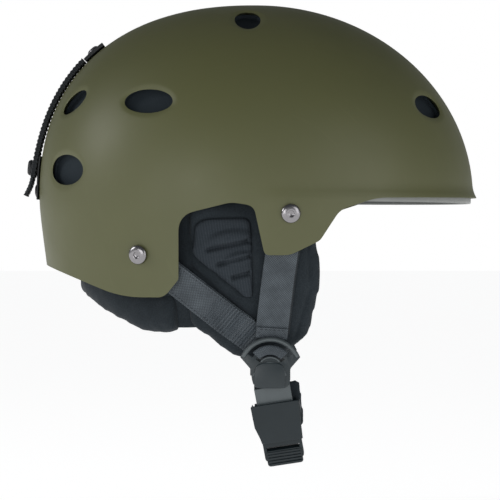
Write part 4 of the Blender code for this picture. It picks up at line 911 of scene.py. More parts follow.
@dataclass(frozen=True)
class HelmetForm:
    """The shell's outer surface, and the flank that straps and ear pads follow.

    Station 0 is the crown, 1 the widest ring and 2 the end of the skirt. Azimuth 0 is the front.
    """

    front: float = 0.138
    back: float = 0.139
    half_width: float = 0.112
    height: float = 0.123
    skirt: float = 0.070
    plan_power: float = 2.15
    front_power: float = 2.0
    back_power: float = 2.33
    rear_widening: float = 0.04
    tuck_rate: float = 1.0
    tuck_round: float = 0.010
    flare: float = 0.0022
    flare_height: float = 0.008
    lean_start: float = -0.030
    lean_rate: float = 0.36
    lean_round: float = 0.015

    def power(self, azimuth: float) -> float:
        """Power of the profile at an azimuth."""
        return self.front_power + (self.back_power - self.front_power) * (1.0 - math.cos(azimuth)) / 2.0

    def ring(self, z: float) -> float:
        """How far the plan shrinks below the widest ring."""
        return 1.0 - self.tuck_rate * (math.hypot(z, self.tuck_round) - self.tuck_round) if z < 0 else 1.0

    def point(self, azimuth: float, station: float) -> Vector:
        """Point of the outer surface."""
        power = self.power(azimuth)
        if station <= 1.0:
            angle = station * math.pi / 2.0
            ring = math.sin(angle) ** (2.0 / power)
            z = self.height * max(math.cos(angle), 0.0) ** (2.0 / power)
        else:
            z = -(station - 1.0) * self.skirt
            ring = self.ring(z)
        c, s = math.cos(azimuth), math.sin(azimuth)
        x = (self.front if c > 0 else self.back) * ring * signed_power(c, 2.0 / self.plan_power)
        y = self.half_width * ring * signed_power(s, 2.0 / self.plan_power)
        y *= 1.0 - self.rear_widening * x / self.front
        share = min(max(1.0 - z / self.flare_height, 0.0), 1.0)
        flare = self.flare * share * share * max(c, 0.0) ** 0.5
        return Vector((x + flare * c, y + flare * s, z))

    def normal(self, azimuth: float, station: float) -> Vector:
        """Outward normal of the outer surface."""
        if station < 1e-6:
            return Vector((0.0, 0.0, 1.0))
        step = 1e-4
        along = self.point(azimuth + step, station) - self.point(azimuth - step, station)
        down = self.point(azimuth, station + step) - self.point(azimuth, station - step)
        return down.cross(along).normalized()

    def under(self, azimuth: float, station: float, inset: float) -> Vector:
        """Point at a depth under the outer surface."""
        return self.point(azimuth, station) - self.normal(azimuth, station) * inset

    def station(self, azimuth: float, z: float) -> float:
        """The station with this height."""
        if z < 0.0:
            return 1.0 - z / self.skirt
        return math.acos(min(z / self.height, 1.0) ** (self.power(azimuth) / 2.0)) * 2.0 / math.pi

    def place(self, x: float, z: float) -> Matrix:
        """Right-hand frame on the outer surface at a place seen from the side."""
        azimuth = -math.pi / 2.0 - math.asin(max(-1.0, min(1.0, x / self.back)))
        for _ in range(60):
            azimuth -= (self.point(azimuth, self.station(azimuth, z)).x - x) / self.back * 0.8
        station = self.station(azimuth, z)
        return normal_frame(self.point(azimuth, station), self.normal(azimuth, station))

    def back_line(self, z: float, lift: float = 0.0) -> Matrix:
        """Frame on the back centre line at a height, lifted off the shell."""
        station = self.station(math.pi, z)
        normal = self.normal(math.pi, station)
        return normal_frame(self.point(math.pi, station) + normal * lift, normal)

    def top_line(self, x: float) -> Matrix:
        """Frame on the rear centre line at a distance along the head, with local x forward."""
        low, high = 0.0, 1.0
        for _ in range(40):
            middle = (low + high) / 2.0
            low, high = (middle, high) if self.point(math.pi, middle).x > x else (low, middle)
        return normal_frame(self.point(math.pi, low), self.normal(math.pi, low), (0.0, 1.0, 0.0))

    def side_width(self, x: float, z: float) -> float:
        """Half width of the outer surface at a place seen from the side."""
        ring = self.ring(z)
        if z > 0.0:
            power = self.power(math.acos(max(-1.0, min(1.0, x / self.back))))
            ring = (1.0 - (z / self.height) ** power) ** (1.0 / power)
        lengthwise = (self.front if x > 0 else self.back) * ring
        share = max(1.0 - abs(x / lengthwise) ** self.plan_power, 0.0) ** (1.0 / self.plan_power)
        return self.half_width * ring * share * (1.0 - self.rear_widening * x / self.front)

    def flank_width(self, x: float, z: float) -> float:
        """Half width of the flank, which leans inwards below the shell."""
        drop = max(self.lean_start - z, 0.0)
        lean = self.lean_rate * (math.hypot(drop, self.lean_round) - self.lean_round)
        return self.side_width(x, max(z, self.lean_start)) - lean

    def flank(self, x: float, z: float, inset: float) -> tuple[Vector, Vector]:
        """Right-hand point and outward normal at a depth under the flank."""
        step = 1e-4
        slope_x = (self.flank_width(x + step, z) - self.flank_width(x - step, z)) / (2 * step)
        slope_z = (self.flank_width(x, z + step) - self.flank_width(x, z - step)) / (2 * step)
        normal = Vector((-slope_x, -1.0, -slope_z)).normalized()
        return Vector((x, -self.flank_width(x, z), z)) - normal * inset, normal


FORM = HelmetForm()


# ---------------------------------------------------------------- shell and liner


@dataclass(frozen=True)
class Vent:
    """An oval opening, seen square on: half sizes along and up the shell, and its frame."""

    frame: Matrix
    half_length: float
    half_height: float

    def distance(self, point: Vector) -> float:
        """Distance outside the opening's edge, measured in the vent's plane."""
        local = self.frame.inverted() @ point
        if abs(local.z) > 0.02:
            return 1.0
        ratio = math.hypot(local.x / self.half_length, local.y / self.half_height)
        return (ratio - 1.0) * math.hypot(local.x, local.y) / max(ratio, 1e-6)

    def cutter(self, bm: BMesh, depth: float, flare: float = 0.0) -> None:
        """Add the opening's oval prism, which may widen inwards."""
        turns = full_turn(48)
        levels = ((-depth, flare), (-0.0006, 0.0), (depth, 0.0))
        rings = []
        for level, grow in levels:
            half_u, half_v = self.half_length + grow, self.half_height + grow
            points = [Vector((half_u * math.cos(a), half_v * math.sin(a), level)) for a in turns]
            verts = [bm.verts.new(self.frame @ point) for point in points]
            rings.append([bm.edges.new((verts[i - 1], verts[i])) for i in range(len(verts))])
        for low, high in zip(rings, rings[1:]):
            bmesh.ops.bridge_loops(bm, edges=low + high)
        for ring in (rings[0], rings[-1]):
            bmesh.ops.contextual_create(bm, geom=ring)


@dataclass
class OuterShell:
    """Hard shell with dished vents, screw holes and the cut-away over the ear.

    Attributes:
        wall: thickness.
        around: faces round the shell.
        rings: rows of faces from crown to skirt.
        dish: depth of the hollow round each vent.
        dish_reach: how far the hollow spreads.
        lip: radius of the rolled edge of each vent.
        cut_depth: depth of a vent's cut, in walls.
        cut_flare: how far that cut widens inwards, in walls.
        trim_reach: degrees that the peak's edge band runs to each side of the front.
        side_vents: (x, z, length, height, turn in degrees) of the vents on each side.
        centre_vent: (x, length, width) of the vent on the centre line.
        edge: lower edge from the side, as (x, z, fillet radius).
    """

    wall: float = 0.003
    around: int = 216
    rings: int = 104
    skirt_share: float = 0.24
    dish: float = 0.0010
    dish_reach: float = 0.0055
    lip: float = 0.0010
    cut_depth: float = 2.2
    cut_flare: float = 2.4
    hole_radius: float = 0.0026
    trim_height: float = 0.0004
    trim_width: float = 0.0042
    trim_thickness: float = 0.0014
    trim_inset: float = 0.0016
    trim_reach: float = 74.0
    pocket_margin: float = 0.0040
    pocket_depth: float = 0.0040
    side_vents: Sequence[tuple[float, ...]] = (
        (-0.0060, 0.1120, 0.0150, 0.0240, 0.0),
        (-0.0678, 0.0592, 0.0300, 0.0148, -2.0),
        (-0.1156, 0.0600, 0.0226, 0.0132, 25.0),
        (-0.1202, 0.0169, 0.0320, 0.0176, -3.5),
        (0.1080, 0.0572, 0.0250, 0.0150, 0.0),
    )
    centre_vent: tuple[float, float, float] = (-0.054, 0.030, 0.016)
    edge: Sequence[tuple[float, float, float]] = (
        (-0.160, -0.0325, 0.0),
        (-0.084, -0.0625, 0.100),
        (-0.0575, -0.0625, 0.009),
        (-0.0485, -0.0515, 0.004),
        (-0.0485, -0.0120, 0.013),
        (-0.0160, -0.0040, 0.020),
        (-0.0022, -0.0062, 0.007),
        (0.0045, -0.0365, 0.004),
        (0.0200, -0.0365, 0.016),
        (0.0385, -0.0275, 0.008),
        (0.0510, -0.0085, 0.014),
        (0.0740, -0.0010, 0.040),
        (0.160, 0.0000, 0.0),
    )

    def vents(self) -> list[Vent]:
        """Every vent with its frame."""
        x, length, width = self.centre_vent
        found = [Vent(FORM.top_line(x), length / 2.0, width / 2.0)]
        for side in Side:
            for x, z, length, height, turn in self.side_vents:
                place = side.from_right @ FORM.place(x, z) @ Matrix.Rotation(math.radians(turn), 4, "Z")
                found.append(Vent(place, length / 2.0, height / 2.0))
        return found

    def map_point(self, direction: Vector) -> tuple[float, float]:
        """Azimuth and station of a direction on the unit ball."""
        share = math.acos(max(-1.0, min(1.0, direction.normalized().z))) / math.pi
        crown = 1.0 - self.skirt_share
        station = share / crown if share < crown else 1.0 + (share - crown) / self.skirt_share
        return math.atan2(direction.y, direction.x), station

    def sink(self, distance: float) -> float:
        """Depth of the hollow at a distance outside a vent's edge."""
        hollow = self.dish * (1.0 - smoothstep((distance + 0.0005) / self.dish_reach))
        roll = min(max(1.0 - distance / self.lip, 0.0), 1.0)
        return hollow + self.lip * (1.0 - math.sqrt(1.0 - roll * roll))

    def skin(self) -> BMesh:
        """Outer surface, with finer faces and hollows round the vents."""
        vents = self.vents()
        bm = bmesh.new()
        bmesh.ops.create_uvsphere(bm, u_segments=self.around, v_segments=self.rings, radius=1.0)
        lowest = min(bm.verts, key=lambda vert: vert.co.z)
        bmesh.ops.delete(bm, geom=[lowest], context="VERTS")
        reach = self.dish_reach + 0.003
        edges = set()
        for face in bm.faces:
            point = FORM.point(*self.map_point(face.calc_center_median()))
            if any(-0.007 < vent.distance(point) < reach for vent in vents):
                edges.update(face.edges)
        bmesh.ops.subdivide_edges(bm, edges=list(edges), cuts=2, use_grid_fill=True)
        for vert in bm.verts:
            azimuth, station = self.map_point(vert.co)
            point = FORM.point(azimuth, station)
            near = min(vent.distance(point) for vent in vents)
            sink = self.sink(near) if near < self.dish_reach else 0.0
            vert.co = point - FORM.normal(azimuth, station) * sink if sink else point
        face_out(bm)
        return bm

    def holes(self) -> BMesh:
        """Vents and screw holes as one cutter."""
        bm = bmesh.new()
        for vent in self.vents():
            vent.cutter(bm, self.cut_depth * self.wall, self.cut_flare * self.wall)
        screws = ScrewSet()
        places = [screws.place(side, spot) for side in Side for spot in (screws.front, screws.rear)]
        places += [FORM.back_line(height) for height in GoggleRetainer().screw_heights()]
        for place in places:
            outline = [(self.hole_radius * math.cos(a), self.hole_radius * math.sin(a)) for a in full_turn(24)]
            slab(bm, outline, place, -0.006, 0.004)
        face_out(bm)
        return bm

    def below(self) -> BMesh:
        """Everything under the lower edge."""
        outline = rounded_outline(self.edge, steps=12, closed=False)
        outline += [Vector((0.160, -0.3)), Vector((-0.160, -0.3))]
        bm = bmesh.new()
        slab(bm, outline, Matrix.Rotation(math.pi / 2.0, 4, "X"), -0.3, 0.3)
        face_out(bm)
        return bm

    def build(self) -> None:
        """Make the shell."""
        shell = helper("shell_form", self.skin())
        wall = shell.modifiers.new("wall", "SOLIDIFY")
        wall.thickness = self.wall
        wall.offset = -1.0
        cutters = [helper("lower_edge", self.below()), helper("openings", self.holes())]
        for cutter in cutters:
            carve(shell, cutter)
        mesh = baked(shell, *cutters)
        adopt_mesh("helmet_shell", mesh, SHELL_PAINT, Body.HELMET, ["outer_shell"], crease=38.0)
        self.line()

    def trim(self) -> BMesh:
        """Pale band just inside the peak's edge: a painted highlight along the shell's inner rim."""
        stations = []
        for k in range(91):
            azimuth = math.radians(-self.trim_reach + 2.0 * self.trim_reach * k / 90.0)
            station = FORM.station(azimuth, self.trim_height)
            normal = FORM.normal(azimuth, station)
            normal = Vector((normal.x, normal.y, 0.0)).normalized()
            place = FORM.under(azimuth, station, self.wall + self.trim_inset)
            stations.append((place, Vector((0.0, 0.0, 1.0)), normal))
        return Strip(stations, width=self.trim_width, thickness=self.trim_thickness, columns=6).build()

    def line(self) -> None:
        """Make the liner, with a pocket in the foam behind each vent."""
        liner = helper("liner_form", copy_of("foam_liner"))
        bm = bmesh.new()
        for vent in self.vents():
            wide = Vent(vent.frame, vent.half_length + self.pocket_margin, vent.half_height + self.pocket_margin)
            wide.cutter(bm, self.wall + self.pocket_depth)
        face_out(bm)
        cutter = helper("pockets", bm)
        carve(liner, cutter)
        adopt_mesh("liner", baked(liner, cutter), LINER_FOAM, Body.HELMET, ["foam_liner"], crease=30.0)


def copy_of(node: str, merge: float = 2e-6) -> BMesh:
    """A merged copy of a CAD node's mesh."""
    bm = bmesh.new()
    bm.from_mesh(bpy.data.objects[node].data)
    bmesh.ops.remove_doubles(bm, verts=bm.verts, dist=merge)
    face_out(bm)
    return bm


def moulded_copy(
    name: str, node: str, finish: Finish, body: Body, width: float = 0.0003, segments: int = 2
) -> Object:
    """A hard part in the shape of its CAD node, with its flat faces joined and its edges softened.

    Args:
        name: the piece's name.
        node: the CAD node that it stands for.
        finish: its material.
        body: the body that it rides on.
        width: width of the softened edge.
        segments: faces across it.

    Returns:
        The new piece.
    """
    bm = copy_of(node)
    bmesh.ops.dissolve_limit(
        bm, angle_limit=math.radians(1.0), use_dissolve_boundaries=False, verts=bm.verts, edges=bm.edges, delimit=set()
    )
    sharp = [edge for edge in bm.edges if len(edge.link_faces) == 2 and edge.calc_face_angle() > math.radians(32.0)]
    bmesh.ops.bevel(
        bm, geom=sharp, offset=width, offset_type="OFFSET", segments=segments, profile=0.5, affect="EDGES",
        clamp_overlap=True, material=-1,
    )
    return make_piece(name, bm, finish, body, [node], crease=50.0)


# ---------------------------------------------------------------- padding


@dataclass
class Upholsterer:
    """Turns a pad's plain form into a stuffed one with a short cloth simulation.

    Attributes:
        voxel: spacing of the remeshed cover.
        pressure: air pressure of the stuffing.
        cap: the most that a point may move.
        frames: length of the simulation.
        passes: times that the remeshed cover is smoothed first.
    """

    voxel: float = 0.004
    pressure: float = 4.0
    cap: float = 0.0016
    frames: int = 14
    passes: int = 5

    def stuff(
        self,
        name: str,
        node: str,
        finish: Finish,
        body: Body = Body.HELMET,
        levels: int = 1,
        detail: Callable[[Vector, Vector], float] | None = None,
    ) -> Object:
        """Make one padded piece from its CAD node.

        Args:
            name: the piece's name.
            node: the CAD node that it stands for.
            finish: its cover.
            body: the body that it rides on.
            levels: times that the cover is subdivided.
            detail: rise along the normal at a point, for seams and quilting.

        Returns:
            The piece.
        """
        pad = helper(name + "_form", copy_of(node))
        remesh = pad.modifiers.new("cover", "REMESH")
        remesh.mode = "VOXEL"
        remesh.voxel_size = self.voxel
        remesh.adaptivity = 0.0
        mesh = baked(pad)
        bm = bmesh.new()
        bm.from_mesh(mesh)
        for _ in range(self.passes):
            bmesh.ops.smooth_vert(bm, verts=bm.verts, factor=0.5, use_axis_x=True, use_axis_y=True, use_axis_z=True)
        pad = helper(name + "_form", bm)
        self.inflate(pad)
        smooth = pad.modifiers.new("subdivide", "SUBSURF")
        smooth.levels = smooth.render_levels = levels
        mesh = baked(pad)
        if detail is not None:
            moved = [vert.co + vert.normal * detail(vert.co, vert.normal) for vert in mesh.vertices]
            for vert, place in zip(mesh.vertices, moved):
                vert.co = place
        piece = adopt_mesh(name, mesh, finish, body, [node], crease=180.0)
        return piece

    def inflate(self, pad: Object) -> None:
        """Swell the pad under pressure, hold each point near where it began, and keep the result."""
        start = [vert.co.copy() for vert in pad.data.vertices]
        cloth = pad.modifiers.new("stuffing", "CLOTH")
        cloth.settings.use_pressure = True
        cloth.settings.uniform_pressure_force = self.pressure
        cloth.settings.effector_weights.gravity = 0.0
        cloth.settings.quality = 4
        cloth.point_cache.frame_start = 1
        cloth.point_cache.frame_end = self.frames
        scene = bpy.context.scene
        for number in range(1, self.frames + 1):
            scene.frame_set(number)
        graph = bpy.context.evaluated_depsgraph_get()
        swollen = pad.evaluated_get(graph).to_mesh()
        ends = [vert.co.copy() for vert in swollen.vertices]
        pad.modifiers.remove(cloth)
        scene.frame_set(1)
        for vert, first, last in zip(pad.data.vertices, start, ends):
            move = last - first
            reach = self.cap * math.tanh(move.length / self.cap)
            vert.co = first + move.normalized() * reach if move.length > 1e-9 else first


def groove(point: Point2, start: Point2, end: Point2, width: float, depth: float) -> float:
    """Sunken line between two places seen from the side, as a negative rise."""
    a, b, p = Vector(start), Vector(end), Vector(point)
    share = max(0.0, min(1.0, (p - a).dot(b - a) / (b - a).length_squared))
    gap = (p - a.lerp(b, share)).length / width
    fade = smoothstep(min(share, 1.0 - share) * 8.0 + 0.15)
    return -depth * math.exp(-gap * gap) * fade


def swelling(point: Point2, centre: Point2, half: Point2, turn: float, rise: float) -> float:
    """Raised lens seen from the side; half gives its half sizes and turn is in degrees."""
    c, s = math.cos(math.radians(turn)), math.sin(math.radians(turn))
    x, z = point[0] - centre[0], point[1] - centre[1]
    ratio = ((x * c + z * s) / half[0]) ** 2 + ((z * c - x * s) / half[1]) ** 2
    return rise * (1.0 - smoothstep(ratio)) if ratio < 1.0 else 0.0


@dataclass
class EarFlap:
    """Ear pad with a quilted hearing panel, one on each side.

    Attributes:
        slits: sewn slits of the hearing panel, from and to in (x, z).
        lenses: raised lenses between them, as (centre, half size, turn, rise).
        seams: seams of the pad round it.
    """

    slits: Sequence[tuple[Point2, Point2]] = (
        ((-0.0330, -0.0338), (-0.0018, -0.0268)),
        ((-0.0262, -0.0430), (-0.0012, -0.0360)),
        ((-0.0170, -0.0512), (-0.0010, -0.0466)),
    )
    lenses: Sequence[tuple[Point2, Point2, float, float]] = (
        ((-0.0170, -0.0258), (0.0150, 0.0056), 9.0, 0.0034),
        ((-0.0115, -0.0382), (0.0108, 0.0042), 13.0, 0.0028),
    )
    seams: Sequence[tuple[Point2, Point2]] = (
        ((-0.0425, -0.0060), (-0.0430, -0.0420)),
        ((-0.0430, -0.0420), (-0.0010, -0.0800)),
        ((0.0300, -0.0060), (0.0330, -0.0560)),
        ((0.0330, -0.0560), (0.0230, -0.0900)),
    )

    def panel_rise(self, point: Vector, normal: Vector) -> float:
        """Rise of the hearing panel's cover."""
        if abs(normal.y) < 0.5 or normal.y * point.y < 0.0:
            return 0.0
        place = (point.x, point.z)
        rise = sum(groove(place, *slit, 0.0013, 0.0034) for slit in self.slits)
        return rise + sum(swelling(place, *lens) for lens in self.lenses)

    def pad_rise(self, point: Vector, normal: Vector) -> float:
        """Rise of the pad's cover, with seams on the face under the shell and soft creases elsewhere."""
        crease = 0.0002 * noise.noise(point * 60.0)
        if abs(normal.y) < 0.4 or normal.y * point.y < 0.0:
            return crease
        place = (point.x, point.z)
        return crease + sum(groove(place, *seam, 0.0009, 0.0012) for seam in self.seams)

    def build(self, side: Side) -> None:
        """Make the pad and the panel of one side."""
        fine = Upholsterer(voxel=0.0026, cap=0.0011)
        fine.stuff(f"ear_pad_cover_{side.label}", f"ear_pad_{side.label}", PAD_CLOTH, levels=1, detail=self.pad_rise)
        thin = Upholsterer(voxel=0.0016, cap=0.0006, frames=10)
        thin.stuff(
            f"hearing_panel_{side.label}", f"ear_insert_{side.label}", PANEL_CLOTH, levels=1,
            detail=self.panel_rise,
        )


@dataclass
class Comfort:
    """Pads inside the helmet and the roll round the nape.

    Attributes:
        channel: half width of the sewn channel.
        gusset_span: x of the gusset's two ends.
    """

    channel: float = 0.0016
    gusset_span: Point2 = (-0.0640, -0.0310)
    gusset_high: float = -0.010
    gusset_low: float = -0.0852
    gusset_inset: float = 0.0135
    gusset_thickness: float = 0.0060

    def patch_rise(self, point: Vector, normal: Vector) -> float:
        """A sewn channel along the pad's inner face, with slight creases."""
        inward = -Vector((point.x, point.y, 0.0)).normalized()
        crease = 0.0005 * noise.noise(point * 70.0)
        if normal.dot(inward) < 0.3:
            return crease
        return crease - 0.0012 * math.exp(-(((point.z - 0.026) / self.channel) ** 2))

    def nape_rise(self, point: Vector, normal: Vector) -> float:
        """Soft creases of the nape roll."""
        slow = noise.noise(Vector((point.x * 45.0, point.y * 45.0, point.z * 90.0)))
        return 0.0008 * slow + 0.0003 * noise.noise(point * 220.0)

    def gusset(self, side: Side) -> None:
        """Loose cloth that joins the nape roll to the ear flap."""
        bm = bmesh.new()
        rows = bmesh.ops.create_grid(bm, x_segments=20, y_segments=40, size=1.0)["verts"]
        for vert in rows:
            share, drop = (vert.co.x + 1.0) / 2.0, (vert.co.y + 1.0) / 2.0
            x = self.gusset_span[0] + (self.gusset_span[1] - self.gusset_span[0]) * share
            z = self.gusset_high + (self.gusset_low - self.gusset_high) * drop
            ripple = 0.0005 * math.sin(drop * 9.0) * math.sin(share * math.pi)
            vert.co = FORM.flank(x, z, self.gusset_inset - 0.0020 * math.sin(share * math.pi) + ripple)[0]
        face_out(bm)
        bmesh.ops.solidify(bm, geom=bm.faces[:], thickness=self.gusset_thickness)
        piece = make_piece(
            f"flap_gusset_{side.label}", bm, PAD_CLOTH, Body.HELMET, (), side is Side.LEFT, crease=STRIP_CREASE
        )

    def build(self) -> None:
        """Make the pads."""
        for side in Side:
            self.gusset(side)
        maker = Upholsterer(voxel=0.0035, cap=0.0012, frames=12)
        for node in ("brow_pad", "rear_pad", "side_pad_left", "side_pad_right"):
            maker.stuff(node + "_cover", node, PAD_CLOTH, detail=self.patch_rise)
        maker.stuff("crown_pad_cover", "crown_pad", PAD_CLOTH)
        Upholsterer(voxel=0.0040, cap=0.0016).stuff("nape_roll", "neck_pad", PAD_CLOTH, detail=self.nape_rise)


# ---------------------------------------------------------------- screws and straps


@dataclass
class ScrewSet:
    """The four domed screws that hold the straps.

    Attributes:
        front: (x, z) of the front screw, from the side.
        rear: (x, z) of the rear screw.
        radius: head radius.
        height: head height.
        seat: lift of the head's underside off the shell.
        reach: depth of the shank's end.
    """

    front: Point2 = (0.0204, -0.0108)
    rear: Point2 = (-0.0732, -0.0361)
    radius: float = 0.0060
    height: float = 0.0024
    seat: float = 0.0009
    shank: float = 0.0022
    drive: float = 0.0019
    reach: float = 0.0070

    def place(self, side: Side, spot: Point2) -> Matrix:
        """Frame on the flank at a screw."""
        return side.from_right @ normal_frame(*FORM.flank(*spot, 0.0))

    def profile(self) -> list[Point2]:
        """Flat brim, domed crown and a small dished drive recess, then the shank."""
        crown = self.seat + self.height
        points = [(0.0, crown - 0.45 * self.height), (self.drive * 0.86, crown - 0.45 * self.height)]
        points += [(self.drive, crown - 0.36 * self.height), (self.drive * 1.06, crown - 0.05 * self.height)]
        for k in range(11):
            turn = math.pi / 2.0 * k / 10.0
            radius = self.drive * 1.2 + (self.radius - self.drive * 1.2) * math.sin(turn)
            points.append((radius, self.seat + 0.0003 + (self.height - 0.0003) * math.cos(turn) ** 0.85))
        points += [(self.radius, self.seat), (self.shank, self.seat), (self.shank, -self.reach), (0.0, -self.reach)]
        return points

    def build(self) -> None:
        """Make the screws and their nuts."""
        for side in Side:
            for which, spot in (("front", self.front), ("rear", self.rear)):
                bm = lathe(self.profile(), self.place(side, spot), 56)
                face_out(bm)
                place = f"{which}_{side.label}"
                make_piece(
                    f"{which}_screw_{side.label}", bm, NICKEL, Body.HELMET, [f"strap_screw_{place}"], crease=40.0
                )
                moulded_copy(f"{which}_nut_{side.label}", f"strap_nut_{place}", NICKEL, Body.HELMET, 0.0002)


@dataclass
class StrapRun:
    """One strap from its screw to the divider, with its folded second layer and stitching.

    Attributes:
        name: front_strap or rear_strap.
        route: (x, z) places from the side.
        layer: start and end of the folded layer, as shares of the strap.
        under: True to show the edge of a second layer behind, shifted forward.
        rib: height of the ribs woven across it.
        dip: how much deeper it lies where it meets the divider.
        inset: depth of its middle under the flank.
        count: stations along the whole strap.
        web_end: share where the webbing stops.
        web_ribs: stretch of the strap that shows ribs, as shares of it.
        backing: start and end of the layer behind, as shares of the strap.
        end_rows: stations of the folded layer with stitches across.
        side_rows: where stitches run along, as shares of the half width.
        end_margin: distance from a cross row's ends to the edge.
    """

    name: str
    route: Sequence[Point2]
    layer: Point2
    under: bool
    rib: float
    finish: Finish
    dip: float = 0.0
    dip_start: float = 0.74
    dip_length: float = 0.2
    inset: float = 0.0044 + WEB_THICKNESS / 2.0
    count: int = 240
    web_end: float = 0.985
    layer_thickness: float = 0.0012
    rib_pitch: float = 0.0021
    web_ribs: Point2 = (0.0, 0.27)
    layer_ribs: Point2 = (0.42, 1.0)
    backing: Point2 = (0.30, 0.96)
    backing_shift: float = 0.0012
    backing_thickness: float = 0.0011
    end_rows: tuple[int, int] = (3, -4)
    side_rows: Point2 = (-0.82, 0.82)
    end_margin: float = 0.002

    def stations(self, inset: float, span: tuple[float, float] = (0.0, 1.0), shift: float = 0.0) -> list[Station]:
        """Stations on the right flank between two shares of the strap."""
        path = smooth_path([Vector((x, 0.0, z)) for x, z in self.route], self.count)
        first, last = int(span[0] * (self.count - 1)), int(span[1] * (self.count - 1))
        shares = [k / (self.count - 1) for k in range(self.count)]
        depths = [inset + self.dip * smoothstep((share - self.dip_start) / self.dip_length) for share in shares]
        frames = [FORM.flank(p.x, p.z, depth) for p, depth in zip(path, depths)]
        found = []
        for (point, normal), tangent in zip(frames, tangents([frame[0] for frame in frames])):
            across = normal.cross(tangent).normalized()
            found.append((point + across * shift, across, normal))
        return found[first : last + 1]

    def build(self, side: Side) -> None:
        """Make the strap, its layers and its stitches on one side."""
        mirrored = side is Side.LEFT
        ribs = {"rib": self.rib, "rib_pitch": self.rib_pitch}
        main = self.stations(self.inset, (0.0, self.web_end))
        strip = Strip(main, thickness=WEB_THICKNESS - SKIN, rib_zones=(self.web_ribs,), **ribs)
        node = f"{self.name}_{side.label}"
        make_piece(node + "_web", strip.build(), self.finish, Body.HELMET, [node], mirrored, crease=STRIP_CREASE)
        outer = self.inset - WEB_THICKNESS / 2.0 - self.layer_thickness / 2.0 - SKIN
        top = self.stations(outer, self.layer)
        strip = Strip(
            top, width=WEB_WIDTH - 0.0006, thickness=self.layer_thickness, rib_zones=(self.layer_ribs,), **ribs
        )
        make_piece(node + "_fold_back", strip.build(), self.finish, Body.HELMET, (), mirrored, crease=STRIP_CREASE)
        if self.under:
            under = self.stations(self.inset + WEB_THICKNESS + SKIN, self.backing, shift=self.backing_shift)
            strip = Strip(under, thickness=self.backing_thickness)
            make_piece(node + "_backing", strip.build(), CHIN_WEBBING, Body.HELMET, (), mirrored, crease=STRIP_CREASE)
        bm = bmesh.new()
        stitching = Stitching()
        face = self.layer_thickness / 2.0
        for row in self.end_rows:
            point, across, normal = top[row]
            half = WEB_WIDTH / 2.0 - self.end_margin
            ends = [point + across * share * half + normal * face for share in (-1.0, 1.0)]
            stitching.along(bm, ends, [normal, normal])
        for share in self.side_rows:
            path = [point + across * share * WEB_WIDTH / 2.0 + normal * face for point, across, normal in top[3:-2]]
            stitching.along(bm, path, [normal for _, _, normal in top[3:-2]])
        make_piece(node + "_stitching", bm, THREAD, Body.HELMET, (), mirrored)


